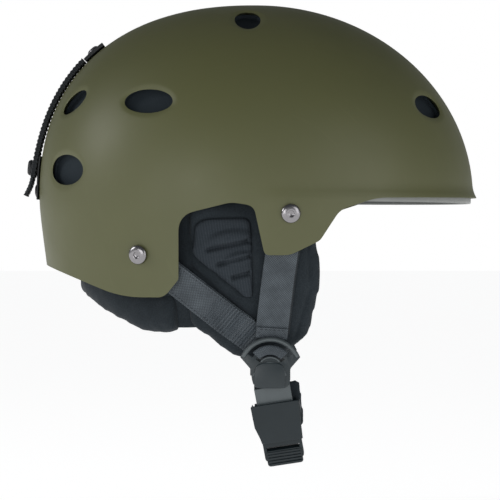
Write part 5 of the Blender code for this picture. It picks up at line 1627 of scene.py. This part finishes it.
@dataclass
class Divider:
    """Arched plate that gathers the two straps and carries the chin strap.

    Attributes:
        pivot: (x, z) where the chin strap swings.
        depth: distance of the plate's middle from the centre plane.
        plate: thickness.
        rim_centre: height of the arches' common centre over the pivot.
        half_angle: half of the arc that the webbing covers, in degrees.
        wrap_radius: radius that turns the way round the bar into a length for the weave.
        tail: length of the webbing's ends past the bridge.
        beads: (name, radius, half angle in degrees, tube radius) of the raised arches, in a lighter plastic than the
            plate as a painted highlight on its rims.
        ring: half angle and tube radius of the arch round it, lighter in the same way as a painted highlight.
    """

    pivot: Point2 = (0.008, -0.110)
    depth: float = 0.091
    plate: float = 0.0025
    rim_centre: float = 0.003
    bar_radius: float = 0.012
    bar_width: float = 0.0024
    half_angle: float = 46.0
    wrap_fillet: float = 0.0014
    wrap_radius: float = 0.0035
    bridge_reach: float = 0.0071
    bridge_bar: float = 0.0020
    tail: float = 0.0020
    beads: Sequence[tuple[str, float, float, float]] = (
        ("rim", 0.01845, 66.0, 0.0012),
        ("window", 0.0074, 50.0, 0.0006),
    )
    boss_radius: float = 0.0098
    boss_centre: Point2 = (-0.0002, -0.0026)
    boss_low: float = -0.0082
    boss_height: float = 0.0010
    ring: Point2 = (80.0, 0.0007)

    def place(self) -> Matrix:
        """Right-hand frame: local x forward, y up, z outwards."""
        rows = ((1.0, 0.0, 0.0, self.pivot[0]), (0.0, 0.0, -1.0, -self.depth))
        return Matrix((*rows, (0.0, 1.0, 0.0, self.pivot[1]), (0.0, 0.0, 0.0, 1.0)))

    def fold(self) -> BMesh:
        """Sleeve of webbing round the arched bar."""
        inner_r, inner_d = self.bar_width / 2.0 + GAP, self.plate / 2.0 + GAP
        thick = WEB_THICKNESS
        corners = []
        for sign_r, sign_d in ((-1, -1), (1, -1), (1, 1), (-1, 1)):
            corners.append((self.bar_radius + sign_r * (inner_r + thick), sign_d * (inner_d + thick), self.wrap_fillet))
        outline = rounded_outline(corners, steps=5)
        bm = bmesh.new()
        start = math.radians(90.0 - self.half_angle)
        verts = [bm.verts.new((p.x * math.cos(start), p.x * math.sin(start), p.y)) for p in outline]
        edges = [bm.edges.new((verts[i - 1], verts[i])) for i in range(len(verts))]
        bmesh.ops.spin(
            bm, geom=[*verts, *edges], cent=(0, 0, 0), axis=(0, 0, 1),
            angle=math.radians(2.0 * self.half_angle), steps=30,
        )
        layer = bm.loops.layers.uv.new("strip")
        for face in bm.faces:
            for loop in face.loops:
                co = loop.vert.co
                radius = math.hypot(co.x, co.y)
                around = math.atan2(co.z, radius - self.bar_radius) * self.wrap_radius
                loop[layer].uv = (around, math.atan2(co.y, co.x) * self.bar_radius)
        face_out(bm)
        bmesh.ops.translate(bm, vec=(0.0, self.rim_centre, 0.0), verts=bm.verts)
        bmesh.ops.transform(bm, matrix=self.place(), verts=bm.verts)
        face_out(bm)
        bmesh.ops.solidify(bm, geom=[*bm.faces], thickness=thick)
        return bm

    def chin_fold(self) -> BMesh:
        """Webbing folded round the bridge behind the plate."""
        reach = self.bridge_bar / math.sqrt(2.0) + GAP + WEB_THICKNESS / 2.0
        points = [(-self.tail, -self.bridge_reach + reach)]
        for k in range(13):
            turn = math.pi * k / 12
            points.append((reach * math.sin(turn), -self.bridge_reach + reach * math.cos(turn)))
        points.append((-self.tail, -self.bridge_reach - reach))
        path = [self.place() @ Vector((0.0, v, w)) for v, w in points]
        return Strip(level_stations(path, Vector((1.0, 0.0, 0.0)))).build()

    def boss(self) -> BMesh:
        """Raised cover over the chin strap's bridge, round at the top."""
        x, y, r = *self.boss_centre, self.boss_radius
        low = self.boss_low
        corners = ((x - r, low, 0.0025), (x + 0.94 * r, low, 0.0025))
        corners += ((x + r, y + r, 0.94 * r), (x - r, y + r, 0.94 * r))
        bm = bmesh.new()
        face = self.plate / 2.0
        slab(bm, rounded_outline(corners, steps=10), self.place(), face - 0.0002, face + self.boss_height)
        round_rim(bm, 0.0006, 3)
        return bm

    def bead(
        self, radius: float, half_angle: float, tube: float, centre: Point2 | None = None
    ) -> BMesh:
        """Raised arched bead on the plate's outer face.

        Args:
            radius: radius of the arch.
            half_angle: half of its arc, in degrees.
            tube: radius of the bead itself.
            centre: the arch's centre from the pivot; the rim's when left out.

        Returns:
            The closed bead.
        """
        centre = centre or (0.0, self.rim_centre)
        bm = bmesh.new()
        start = math.radians(90.0 - half_angle)
        turn = Matrix.Rotation(start, 4, "Z") @ Matrix.Translation((radius, 0.0, 0.0))
        turn = turn @ Matrix.Rotation(math.pi / 2.0, 4, "X")
        ring = bmesh.ops.create_circle(bm, segments=16, radius=tube, matrix=turn)["verts"]
        edges = list({edge for vert in ring for edge in vert.link_edges})
        bmesh.ops.spin(
            bm, geom=[*ring, *edges], cent=(0, 0, 0), axis=(0, 0, 1), angle=math.radians(2.0 * half_angle), steps=40
        )
        bmesh.ops.holes_fill(bm, edges=bm.edges, sides=0)
        face_out(bm)
        place = self.place() @ Matrix.Translation((*centre, self.plate / 2.0))
        bmesh.ops.transform(bm, matrix=place, verts=bm.verts)
        return bm

    def build(self, side: Side) -> None:
        """Make the plate, its raised details and both folds on one side."""
        label, helmet = side.label, Body.HELMET
        mirrored = side is Side.LEFT
        # the beads and the boss ring take the lighter plastic: a painted highlight on the plate's rims
        for name, *sizes in self.beads:
            make_piece(f"divider_{name}_bead_{label}", self.bead(*sizes), KEEPER_PLASTIC_AND_RIM_HIGHLIGHT, helmet, (), mirrored)
        make_piece(f"divider_boss_{label}", self.boss(), DIVIDER_PLASTIC, helmet, (), mirrored, crease=50.0)
        ring = self.bead(self.boss_radius, *self.ring, self.boss_centre)
        make_piece(f"divider_boss_ring_{label}", ring, KEEPER_PLASTIC_AND_RIM_HIGHLIGHT, helmet, (), mirrored)
        moulded_copy(f"divider_plate_{label}", f"strap_divider_{label}", DIVIDER_PLASTIC, helmet, 0.0004, 3)
        wraps = (
            ("bar_wrap", self.fold, WEBBING, "strap_fold"),
            ("chin_wrap", self.chin_fold, CHIN_WEBBING, "chin_fold"),
        )
        for name, shape, finish, node in wraps:
            make_piece(f"{name}_{label}", shape(), finish, helmet, [f"{node}_{label}"], mirrored, crease=STRIP_CREASE)


# ---------------------------------------------------------------- chin strap and buckle


@dataclass
class ChinStrap:
    """Webbing from the right divider through the buckle and under the chin to the left one.

    Attributes:
        bend: drop of the bend below the pivot.
        direction: direction of the webbing below the bend.
        buckle_top: distance from the bend to the buckle.
        buckle_join: distance to the line between the buckle's halves.
        sag: drop of the webbing's lowest point.
        web_bar: thickness and height of the bar in the buckle that the webbing turns round.
        female_depths: the socket's outer and inner face, from the webbing's middle.
        thickness: thickness of the webbing as drawn.
        face_height: how far the socket's cover stands out.
    """

    divider: Divider = field(default_factory=Divider)
    bend: float = 0.0025
    direction: tuple[float, float, float] = (0.167, 0.401, -0.901)
    web_bar: tuple[float, float] = (0.0016, 0.0025)
    buckle_top: float = 0.0190
    buckle_join: float = 0.0433
    female_depths: tuple[float, float] = (-0.0026, 0.0064)
    male_thickness: float = 0.0044
    sag: float = 0.0095
    thickness: float = WEB_THICKNESS - SKIN
    face_height: float = 0.0011
    grip_height: float = 0.0006
    grip_rib: float = 0.0014
    grip_pitch: float = 0.0021

    def layer(self) -> float:
        """Distance of the webbing's middle from the centre plane, at the pivot."""
        return self.divider.depth - self.divider.plate / 2.0 - GAP - WEB_THICKNESS / 2.0

    def place(self) -> Matrix:
        """Frame at the bend: local x across, y inwards, z back up the strap."""
        down = Vector(self.direction).normalized()
        across = (Vector((1.0, 0.0, 0.0)) - down * down.x).normalized()
        turn = Matrix((across, (-down).cross(across), -down)).transposed().to_4x4()
        x, z = self.divider.pivot
        return Matrix.Translation((x, -self.layer(), z - self.bend)) @ turn

    def top_run(self, side: Side) -> list[Vector]:
        """Stretch flat behind the divider."""
        x, z = self.divider.pivot
        return [Vector((x, side.value * self.layer(), z + h)) for h in (self.divider.tail, 0.0, -0.6 * self.bend)]

    def right_run(self) -> Strip:
        """Webbing to the buckle's bar and back up as a tail."""
        place = self.place()
        bar_thickness, bar_height = self.web_bar
        layer = WEB_THICKNESS / 2.0 + GAP + bar_thickness / 2.0
        bar_z = -(self.buckle_top + bar_height / 2.0)
        reach = bar_height / 2.0 + 3.0 * GAP + WEB_THICKNESS / 2.0
        local = [(0.0, -0.0015), (0.0, -0.008), (0.0, bar_z + 0.001)]
        for k in range(1, 6):
            turn = math.pi * k / 6
            local.append((layer - layer * math.cos(turn), bar_z - reach * math.sin(turn)))
        local += [(2 * layer, bar_z), (2 * layer, -0.0075)]
        path = self.top_run(Side.RIGHT) + [place @ Vector((0.0, y, z)) for y, z in local]
        fine = [a.lerp(b, k / 4.0) for a, b in zip(path, path[1:]) for k in range(4)] + [path[-1]]
        slope = place.to_3x3() @ Vector((1.0, 0.0, 0.0))
        stations = []
        for point, tangent in zip(fine, tangents(fine)):
            share = smoothstep((self.divider.pivot[1] - point.z) / 0.004)
            across = Vector((1.0, 0.0, 0.0)).lerp(slope, share)
            stations.append(square_station(point, tangent, across))
        return Strip(stations, thickness=self.thickness)

    def long_run(self) -> Strip:
        """Webbing from the buckle's plug, under the chin, up to the left divider."""
        place = self.place()
        mirror = Side.LEFT.from_right
        behind = sum(self.female_depths) / 2.0 + self.male_thickness / 2.0 + GAP + WEB_THICKNESS
        start = place @ Vector((0.0, behind, -self.buckle_join - 0.005))
        low = start + Vector((0.0, 0.020, -0.9 * self.sag))
        middle = Vector((start.x + 0.001, 0.0, start.z - self.sag))
        rise = [mirror @ place @ Vector((0.0, 0.0, -z)) for z in (0.040, 0.026, 0.012, 0.003)]
        route = [start, low, middle, mirror @ low, mirror @ start, *rise, *self.top_run(Side.LEFT)[::-1]]
        path = smooth_path(route, 150)
        slope = place.to_3x3() @ Vector((1.0, 0.0, 0.0))
        level = Vector((slope.x, 0.0, slope.z)).normalized()
        stations = []
        for point, tangent in zip(path, tangents(path)):
            rise_share = (point.z - self.divider.pivot[1] + 0.012) / 0.010 if point.y > 0.0 else 0.0
            across = level.lerp(Vector((1.0, 0.0, 0.0)), min(max(rise_share, 0.0), 1.0))
            stations.append(square_station(point, tangent, across))
        return Strip(stations, thickness=self.thickness)

    def face(self) -> BMesh:
        """Smooth tapered cover over the socket's outer face and its webbing slot."""
        top, low = -self.buckle_top + 0.0030, -self.buckle_join + 0.0004
        corners = ((-0.0152, top, 0.0012), (0.0150, top, 0.0012), (0.0134, low, 0.0008), (-0.0118, low, 0.0030))
        corners += ((-0.0150, 0.55 * low + 0.45 * top, 0.0060),)
        front = -self.female_depths[0]
        bm = bmesh.new()
        place = self.place() @ Matrix.Rotation(math.pi / 2.0, 4, "X")
        slab(bm, rounded_outline(corners, steps=6), place, front, front + self.face_height)
        round_rim(bm, 0.0006, 3)
        return bm

    def grip(self) -> BMesh:
        """Plate over the plug's webbing slots, with grip ribs across it."""
        place = self.place() @ Matrix.Rotation(math.pi / 2.0, 4, "X")
        front = -(sum(self.female_depths) / 2.0 - self.male_thickness / 2.0)
        top, low = -self.buckle_join - 0.0072, -self.buckle_join - 0.0170
        corners = ((-0.0112, top, 0.0010), (0.0112, top, 0.0010), (0.0112, low, 0.0022), (-0.0112, low, 0.0022))
        bm = bmesh.new()
        slab(bm, rounded_outline(corners, steps=5), place, front, front + self.grip_height)
        for k in range(4):
            y = top - 0.0020 - self.grip_pitch * k
            block(bm, (-0.0104, y - 0.00055, front), (0.0104, y + 0.00055, front + self.grip_rib), place)
        round_rim(bm, 0.0003, 2)
        return bm

    def build(self) -> None:
        """Make the webbing, the keeper, both halves of the buckle and the guard."""
        web = self.right_run().build()
        make_piece("chin_strap_right", web, CHIN_WEBBING, Body.CHIN_LOOP, ["chin_web_right"], crease=STRIP_CREASE)
        web = self.long_run().build()
        web = make_piece("chin_strap_long", web, CHIN_WEBBING, None, ["chin_web"], crease=STRIP_CREASE)
        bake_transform(web)
        moulded_copy("strap_keeper", "web_keeper", KEEPER_PLASTIC_AND_RIM_HIGHLIGHT, Body.CHIN_LOOP, 0.0003)
        moulded_copy("buckle_socket", "buckle_female", BUCKLE_PLASTIC, Body.CHIN_LOOP, 0.0004, 3)
        make_piece("socket_face", self.face(), BUCKLE_PLASTIC, Body.CHIN_LOOP)
        moulded_copy("buckle_plug", "buckle_male", BUCKLE_PLASTIC, Body.TONGUE, 0.0003)
        moulded_copy("prong_front_arm", "buckle_prong_front", STRAP_PLASTIC, Body.PRONG_FRONT, 0.0002)
        moulded_copy("prong_rear_arm", "buckle_prong_rear", STRAP_PLASTIC, Body.PRONG_REAR, 0.0002)
        make_piece("plug_grip", self.grip(), BUCKLE_PLASTIC, Body.TONGUE)
        guard = Upholsterer(voxel=0.0012, cap=0.0003, frames=8)
        guard.stuff("buckle_guard_pad", "buckle_guard", PAD_CLOTH, Body.CHIN_LOOP, levels=1)


# ---------------------------------------------------------------- goggle retainer


@dataclass
class GoggleRetainer:
    """Elastic strap down the back that holds a goggle band.

    Attributes:
        plate_span: heights of the upper plate.
        strap_span: heights of the elastic.
        base_span: heights of the lower base.
        width: width of all three.
        strap_thickness: thickness of the elastic in the frame, which sets the cap's seat.
        lifts: the elastic's height off the shell at its two ends.
        elastic: thickness of the elastic as drawn.
        closing: how far the plate and the elastic are drawn out towards each other.
        braid_rib: height and spacing of the elastic's ribs.
        tab_rib: height and spacing of the tab's ribs.
    """

    plate_span: tuple[float, float] = (0.0965, 0.0870)
    strap_span: tuple[float, float] = (0.0858, 0.0130)
    base_span: tuple[float, float] = (0.0265, -0.0010)
    width: float = 0.022
    plate_thickness: float = 0.0030
    strap_thickness: float = 0.0026
    base_thickness: float = 0.0015
    lifts: tuple[float, float] = (0.0024, 0.0044)
    elastic: float = 0.0036
    closing: tuple[float, float] = (0.0006, 0.0003)
    snap_height: float = 0.0188
    cap_radius: float = 0.0050
    cap_height: float = 0.0026
    tab_end: Point2 = (-0.1478, 0.0013)
    tab_thickness: float = 0.0028
    screw_rise: float = 0.0055
    braid_rib: Point2 = (0.0005, 0.0027)
    tab_rib: Point2 = (0.0003, 0.0022)

    def screw_heights(self) -> tuple[float, float]:
        """Heights of the two small screws."""
        return sum(self.plate_span) / 2.0, self.base_span[1] + self.screw_rise

    def run(self, span: tuple[float, float], lifts: tuple[float, float], count: int) -> list[Station]:
        """Stations down the back centre line."""
        found = []
        for k in range(count):
            share = k / (count - 1)
            lift = lifts[0] + (lifts[1] - lifts[0]) * share**4
            place = FORM.back_line(span[0] + (span[1] - span[0]) * share, lift)
            found.append((place.translation.copy(), place.col[0].to_3d(), place.col[2].to_3d()))
        return found

    def strip(self, span: tuple[float, float], thickness: float) -> BMesh:
        """A plain strip that lies on the shell."""
        lift = GAP + thickness / 2.0
        return Strip(self.run(span, (lift, lift), 24), width=self.width, thickness=thickness, selvedge=0.5).build()

    def braid(self) -> BMesh:
        """Ribbed elastic."""
        high, low = self.strap_span
        stations = self.run((high + self.closing[1], low), self.lifts, 181)
        strip = Strip(stations, width=self.width, thickness=self.elastic, columns=16, selvedge=0.3)
        strip.rib, strip.rib_pitch = self.braid_rib
        return strip.build()

    def cap(self) -> BMesh:
        """Press cap over the stud."""
        share = (self.snap_height - self.strap_span[0]) / (self.strap_span[1] - self.strap_span[0])
        seat = self.lifts[0] + (self.lifts[1] - self.lifts[0]) * share + self.strap_thickness / 2.0 + GAP
        points = [(0.0, seat), (self.cap_radius, seat)]
        for k in range(9):
            turn = math.pi / 2.0 * k / 8.0
            rise = 0.25 + 0.75 * math.sin(turn)
            points.append((self.cap_radius * (0.55 + 0.45 * math.cos(turn)), seat + rise * self.cap_height))
        points += [(self.cap_radius * 0.45, seat + 0.86 * self.cap_height), (0.0, seat + 0.82 * self.cap_height)]
        return lathe(points, FORM.back_line(self.snap_height), 48)

    def tab(self) -> BMesh:
        """Tail that stands off the shell for the fingers."""
        top = FORM.back_line(self.strap_span[1], self.lifts[1])
        start = top @ Vector((0.0, 2.0 * GAP, 0.0))
        end = Vector((self.tab_end[0], 0.0, self.tab_end[1]))
        path = smooth_path([start, start.lerp(end, 0.5) + Vector((0.0006, 0.0, 0.0)), end], 24)
        stations = level_stations(path, Vector((0.0, 1.0, 0.0)))
        strip = Strip(stations, width=self.width * 0.8, thickness=self.tab_thickness, selvedge=0.6)
        strip.rib, strip.rib_pitch = self.tab_rib
        return strip.build()

    def build(self) -> None:
        """Make the retainer."""
        top, low = self.plate_span
        plate = self.strip((top, low - self.closing[0]), self.plate_thickness)
        make_piece("retainer_top_plate", plate, BLACK_RUBBER, Body.HELMET, ["retainer_plate"])
        plate = self.strip(self.base_span, self.base_thickness)
        make_piece("retainer_bottom_plate", plate, BLACK_RUBBER, Body.HELMET, ["retainer_base"])
        make_piece("retainer_elastic", self.braid(), BRAID, Body.RETAINER, ["retainer_strap"], crease=STRIP_CREASE)
        make_piece("press_cap", self.cap(), BLACK_RUBBER, Body.RETAINER, ["snap_cap"], crease=50.0)
        make_piece("retainer_tail", self.tab(), BRAID, Body.RETAINER, ["pull_tab"], crease=STRIP_CREASE)
        for name in ("retainer_screw", "base_screw", "snap_stud"):
            moulded_copy(name + "_metal", name, NICKEL, Body.HELMET, 0.0002)


# ---------------------------------------------------------------- studio


@dataclass
class Studio:
    """Camera level with the brim on the wearer's right, pale floor and soft light.

    Attributes:
        floor_height: the floor's height, low enough for the opened plug to clear it.
        fade: heights of the sky between which the horizon's colour turns to the zenith's.
        lights: (name, place, size, power) of each area light.
    """

    camera_place: tuple[float, float, float] = (-0.0045, -2.6, -0.0333)
    lens: float = 292.5
    floor_height: float = -0.2000
    horizon: tuple[float, float, float] = (0.36, 0.37, 0.38)
    zenith: tuple[float, float, float] = (0.11, 0.115, 0.12)
    fade: Point2 = (0.0, 0.55)
    paper: float = 0.30
    paper_glow: float = 0.98
    glow_strength: float = 0.92
    lights: Sequence[tuple[str, tuple[float, float, float], float, float]] = (
        ("side_light", (-1.0, -2.3, -0.1), 1.3, 14.0),
        ("front_light", (1.7, -1.7, 0.5), 1.4, 10.0),
        ("rear_light", (-2.2, -0.45, 1.0), 0.9, 15.0),
    )

    def camera(self) -> None:
        """Place the camera."""
        data = bpy.data.cameras.new("camera")
        data.lens = self.lens
        data.sensor_width = 36.0
        made = bpy.data.objects.new("camera", data)
        made.location = self.camera_place
        made.rotation_euler = (math.pi / 2.0, 0.0, 0.0)
        bpy.context.scene.collection.objects.link(made)
        bpy.context.scene.camera = made

    def floor(self) -> None:
        """Pale floor."""
        bm = bmesh.new()
        bmesh.ops.create_grid(bm, x_segments=1, y_segments=1, size=30.0)
        bmesh.ops.translate(bm, vec=(0.0, 0.0, self.floor_height), verts=bm.verts)
        ground = helper("floor", bm)
        paper = bpy.data.materials.new("floor_paper")
        paper.use_nodes = True
        shader = paper.node_tree.nodes["Principled BSDF"]
        shader.inputs["Base Color"].default_value = (*[self.paper] * 3, 1.0)
        shader.inputs["Roughness"].default_value = 0.9
        shader.inputs["Emission Color"].default_value = (*[self.paper_glow] * 3, 1.0)
        shader.inputs["Emission Strength"].default_value = self.glow_strength
        ground.data.materials.append(paper)

    def light(self, name: str, place: tuple[float, float, float], size: float, power: float) -> None:
        """Soft area light that faces the helmet."""
        data = bpy.data.lights.new(name, "AREA")
        data.size = size
        data.energy = power
        made = bpy.data.objects.new(name, data)
        made.location = place
        made.rotation_euler = (-Vector(place)).to_track_quat("-Z", "Y").to_euler()
        bpy.context.scene.collection.objects.link(made)

    def air(self) -> None:
        """Ambient light that fades from the horizon to the zenith, seen by the camera as plain white."""
        world = bpy.data.worlds.new("studio_air")
        world.use_nodes = True
        nodes = NodeBuilder(world.node_tree)
        backdrop = world.node_tree.nodes["Background"]
        split = nodes.add("ShaderNodeSeparateXYZ")
        nodes.wire(nodes.add("ShaderNodeTexCoord").outputs["Generated"], split.inputs["Vector"])
        height = nodes.spread(split.outputs[2], self.fade[0], self.fade[1])
        glow = nodes.blend(height, (*self.horizon, 1.0), (*self.zenith, 1.0))
        seen = nodes.add("ShaderNodeLightPath").outputs["Is Camera Ray"]
        nodes.wire(nodes.blend(seen, glow, (1.0, 1.0, 1.0, 1.0)), backdrop.inputs["Color"])
        bpy.context.scene.world = world

    def build(self) -> None:
        """Make the studio."""
        bpy.context.scene.view_settings.view_transform = "Standard"
        self.camera()
        self.floor()
        for light in self.lights:
            self.light(*light)
        self.air()


def main() -> None:
    """Build every sub-assembly in order."""
    logging.basicConfig(level=logging.INFO, format="%(name)s: %(message)s")
    Studio().build()
    shell = OuterShell()
    shell.build()
    # pale band inside the peak: a painted highlight along the shell's inner rim
    make_piece("peak_trim", shell.trim(), PEAK_HIGHLIGHT_PLASTIC, Body.HELMET, crease=STRIP_CREASE)
    Comfort().build()
    for side in Side:
        EarFlap().build(side)
    ScrewSet().build()
    straps = (
        StrapRun(
            "front_strap",
            ((0.0222, -0.0020), (0.0204, -0.0108), (0.0158, -0.0340), (0.0110, -0.0700), (0.0088, -0.0905)),
            layer=(0.915, 0.985), under=True, rib=0.0, finish=WEBBING,
        ),
        StrapRun(
            "rear_strap",
            (
                (-0.0796, -0.0313), (-0.0732, -0.0361), (-0.0500, -0.0538), (-0.0280, -0.0706), (-0.0095, -0.0848),
                (0.0015, -0.0932),
            ),
            layer=(0.31, 0.97), under=False, rib=0.00085, finish=WEBBING, dip=0.0027,
        ),
    )
    divider = Divider()
    for side in Side:
        for strap in straps:
            strap.build(side)
        divider.build(side)
    ChinStrap().build()
    GoggleRetainer().build()
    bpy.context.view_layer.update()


if __name__ == "__main__":
    main()
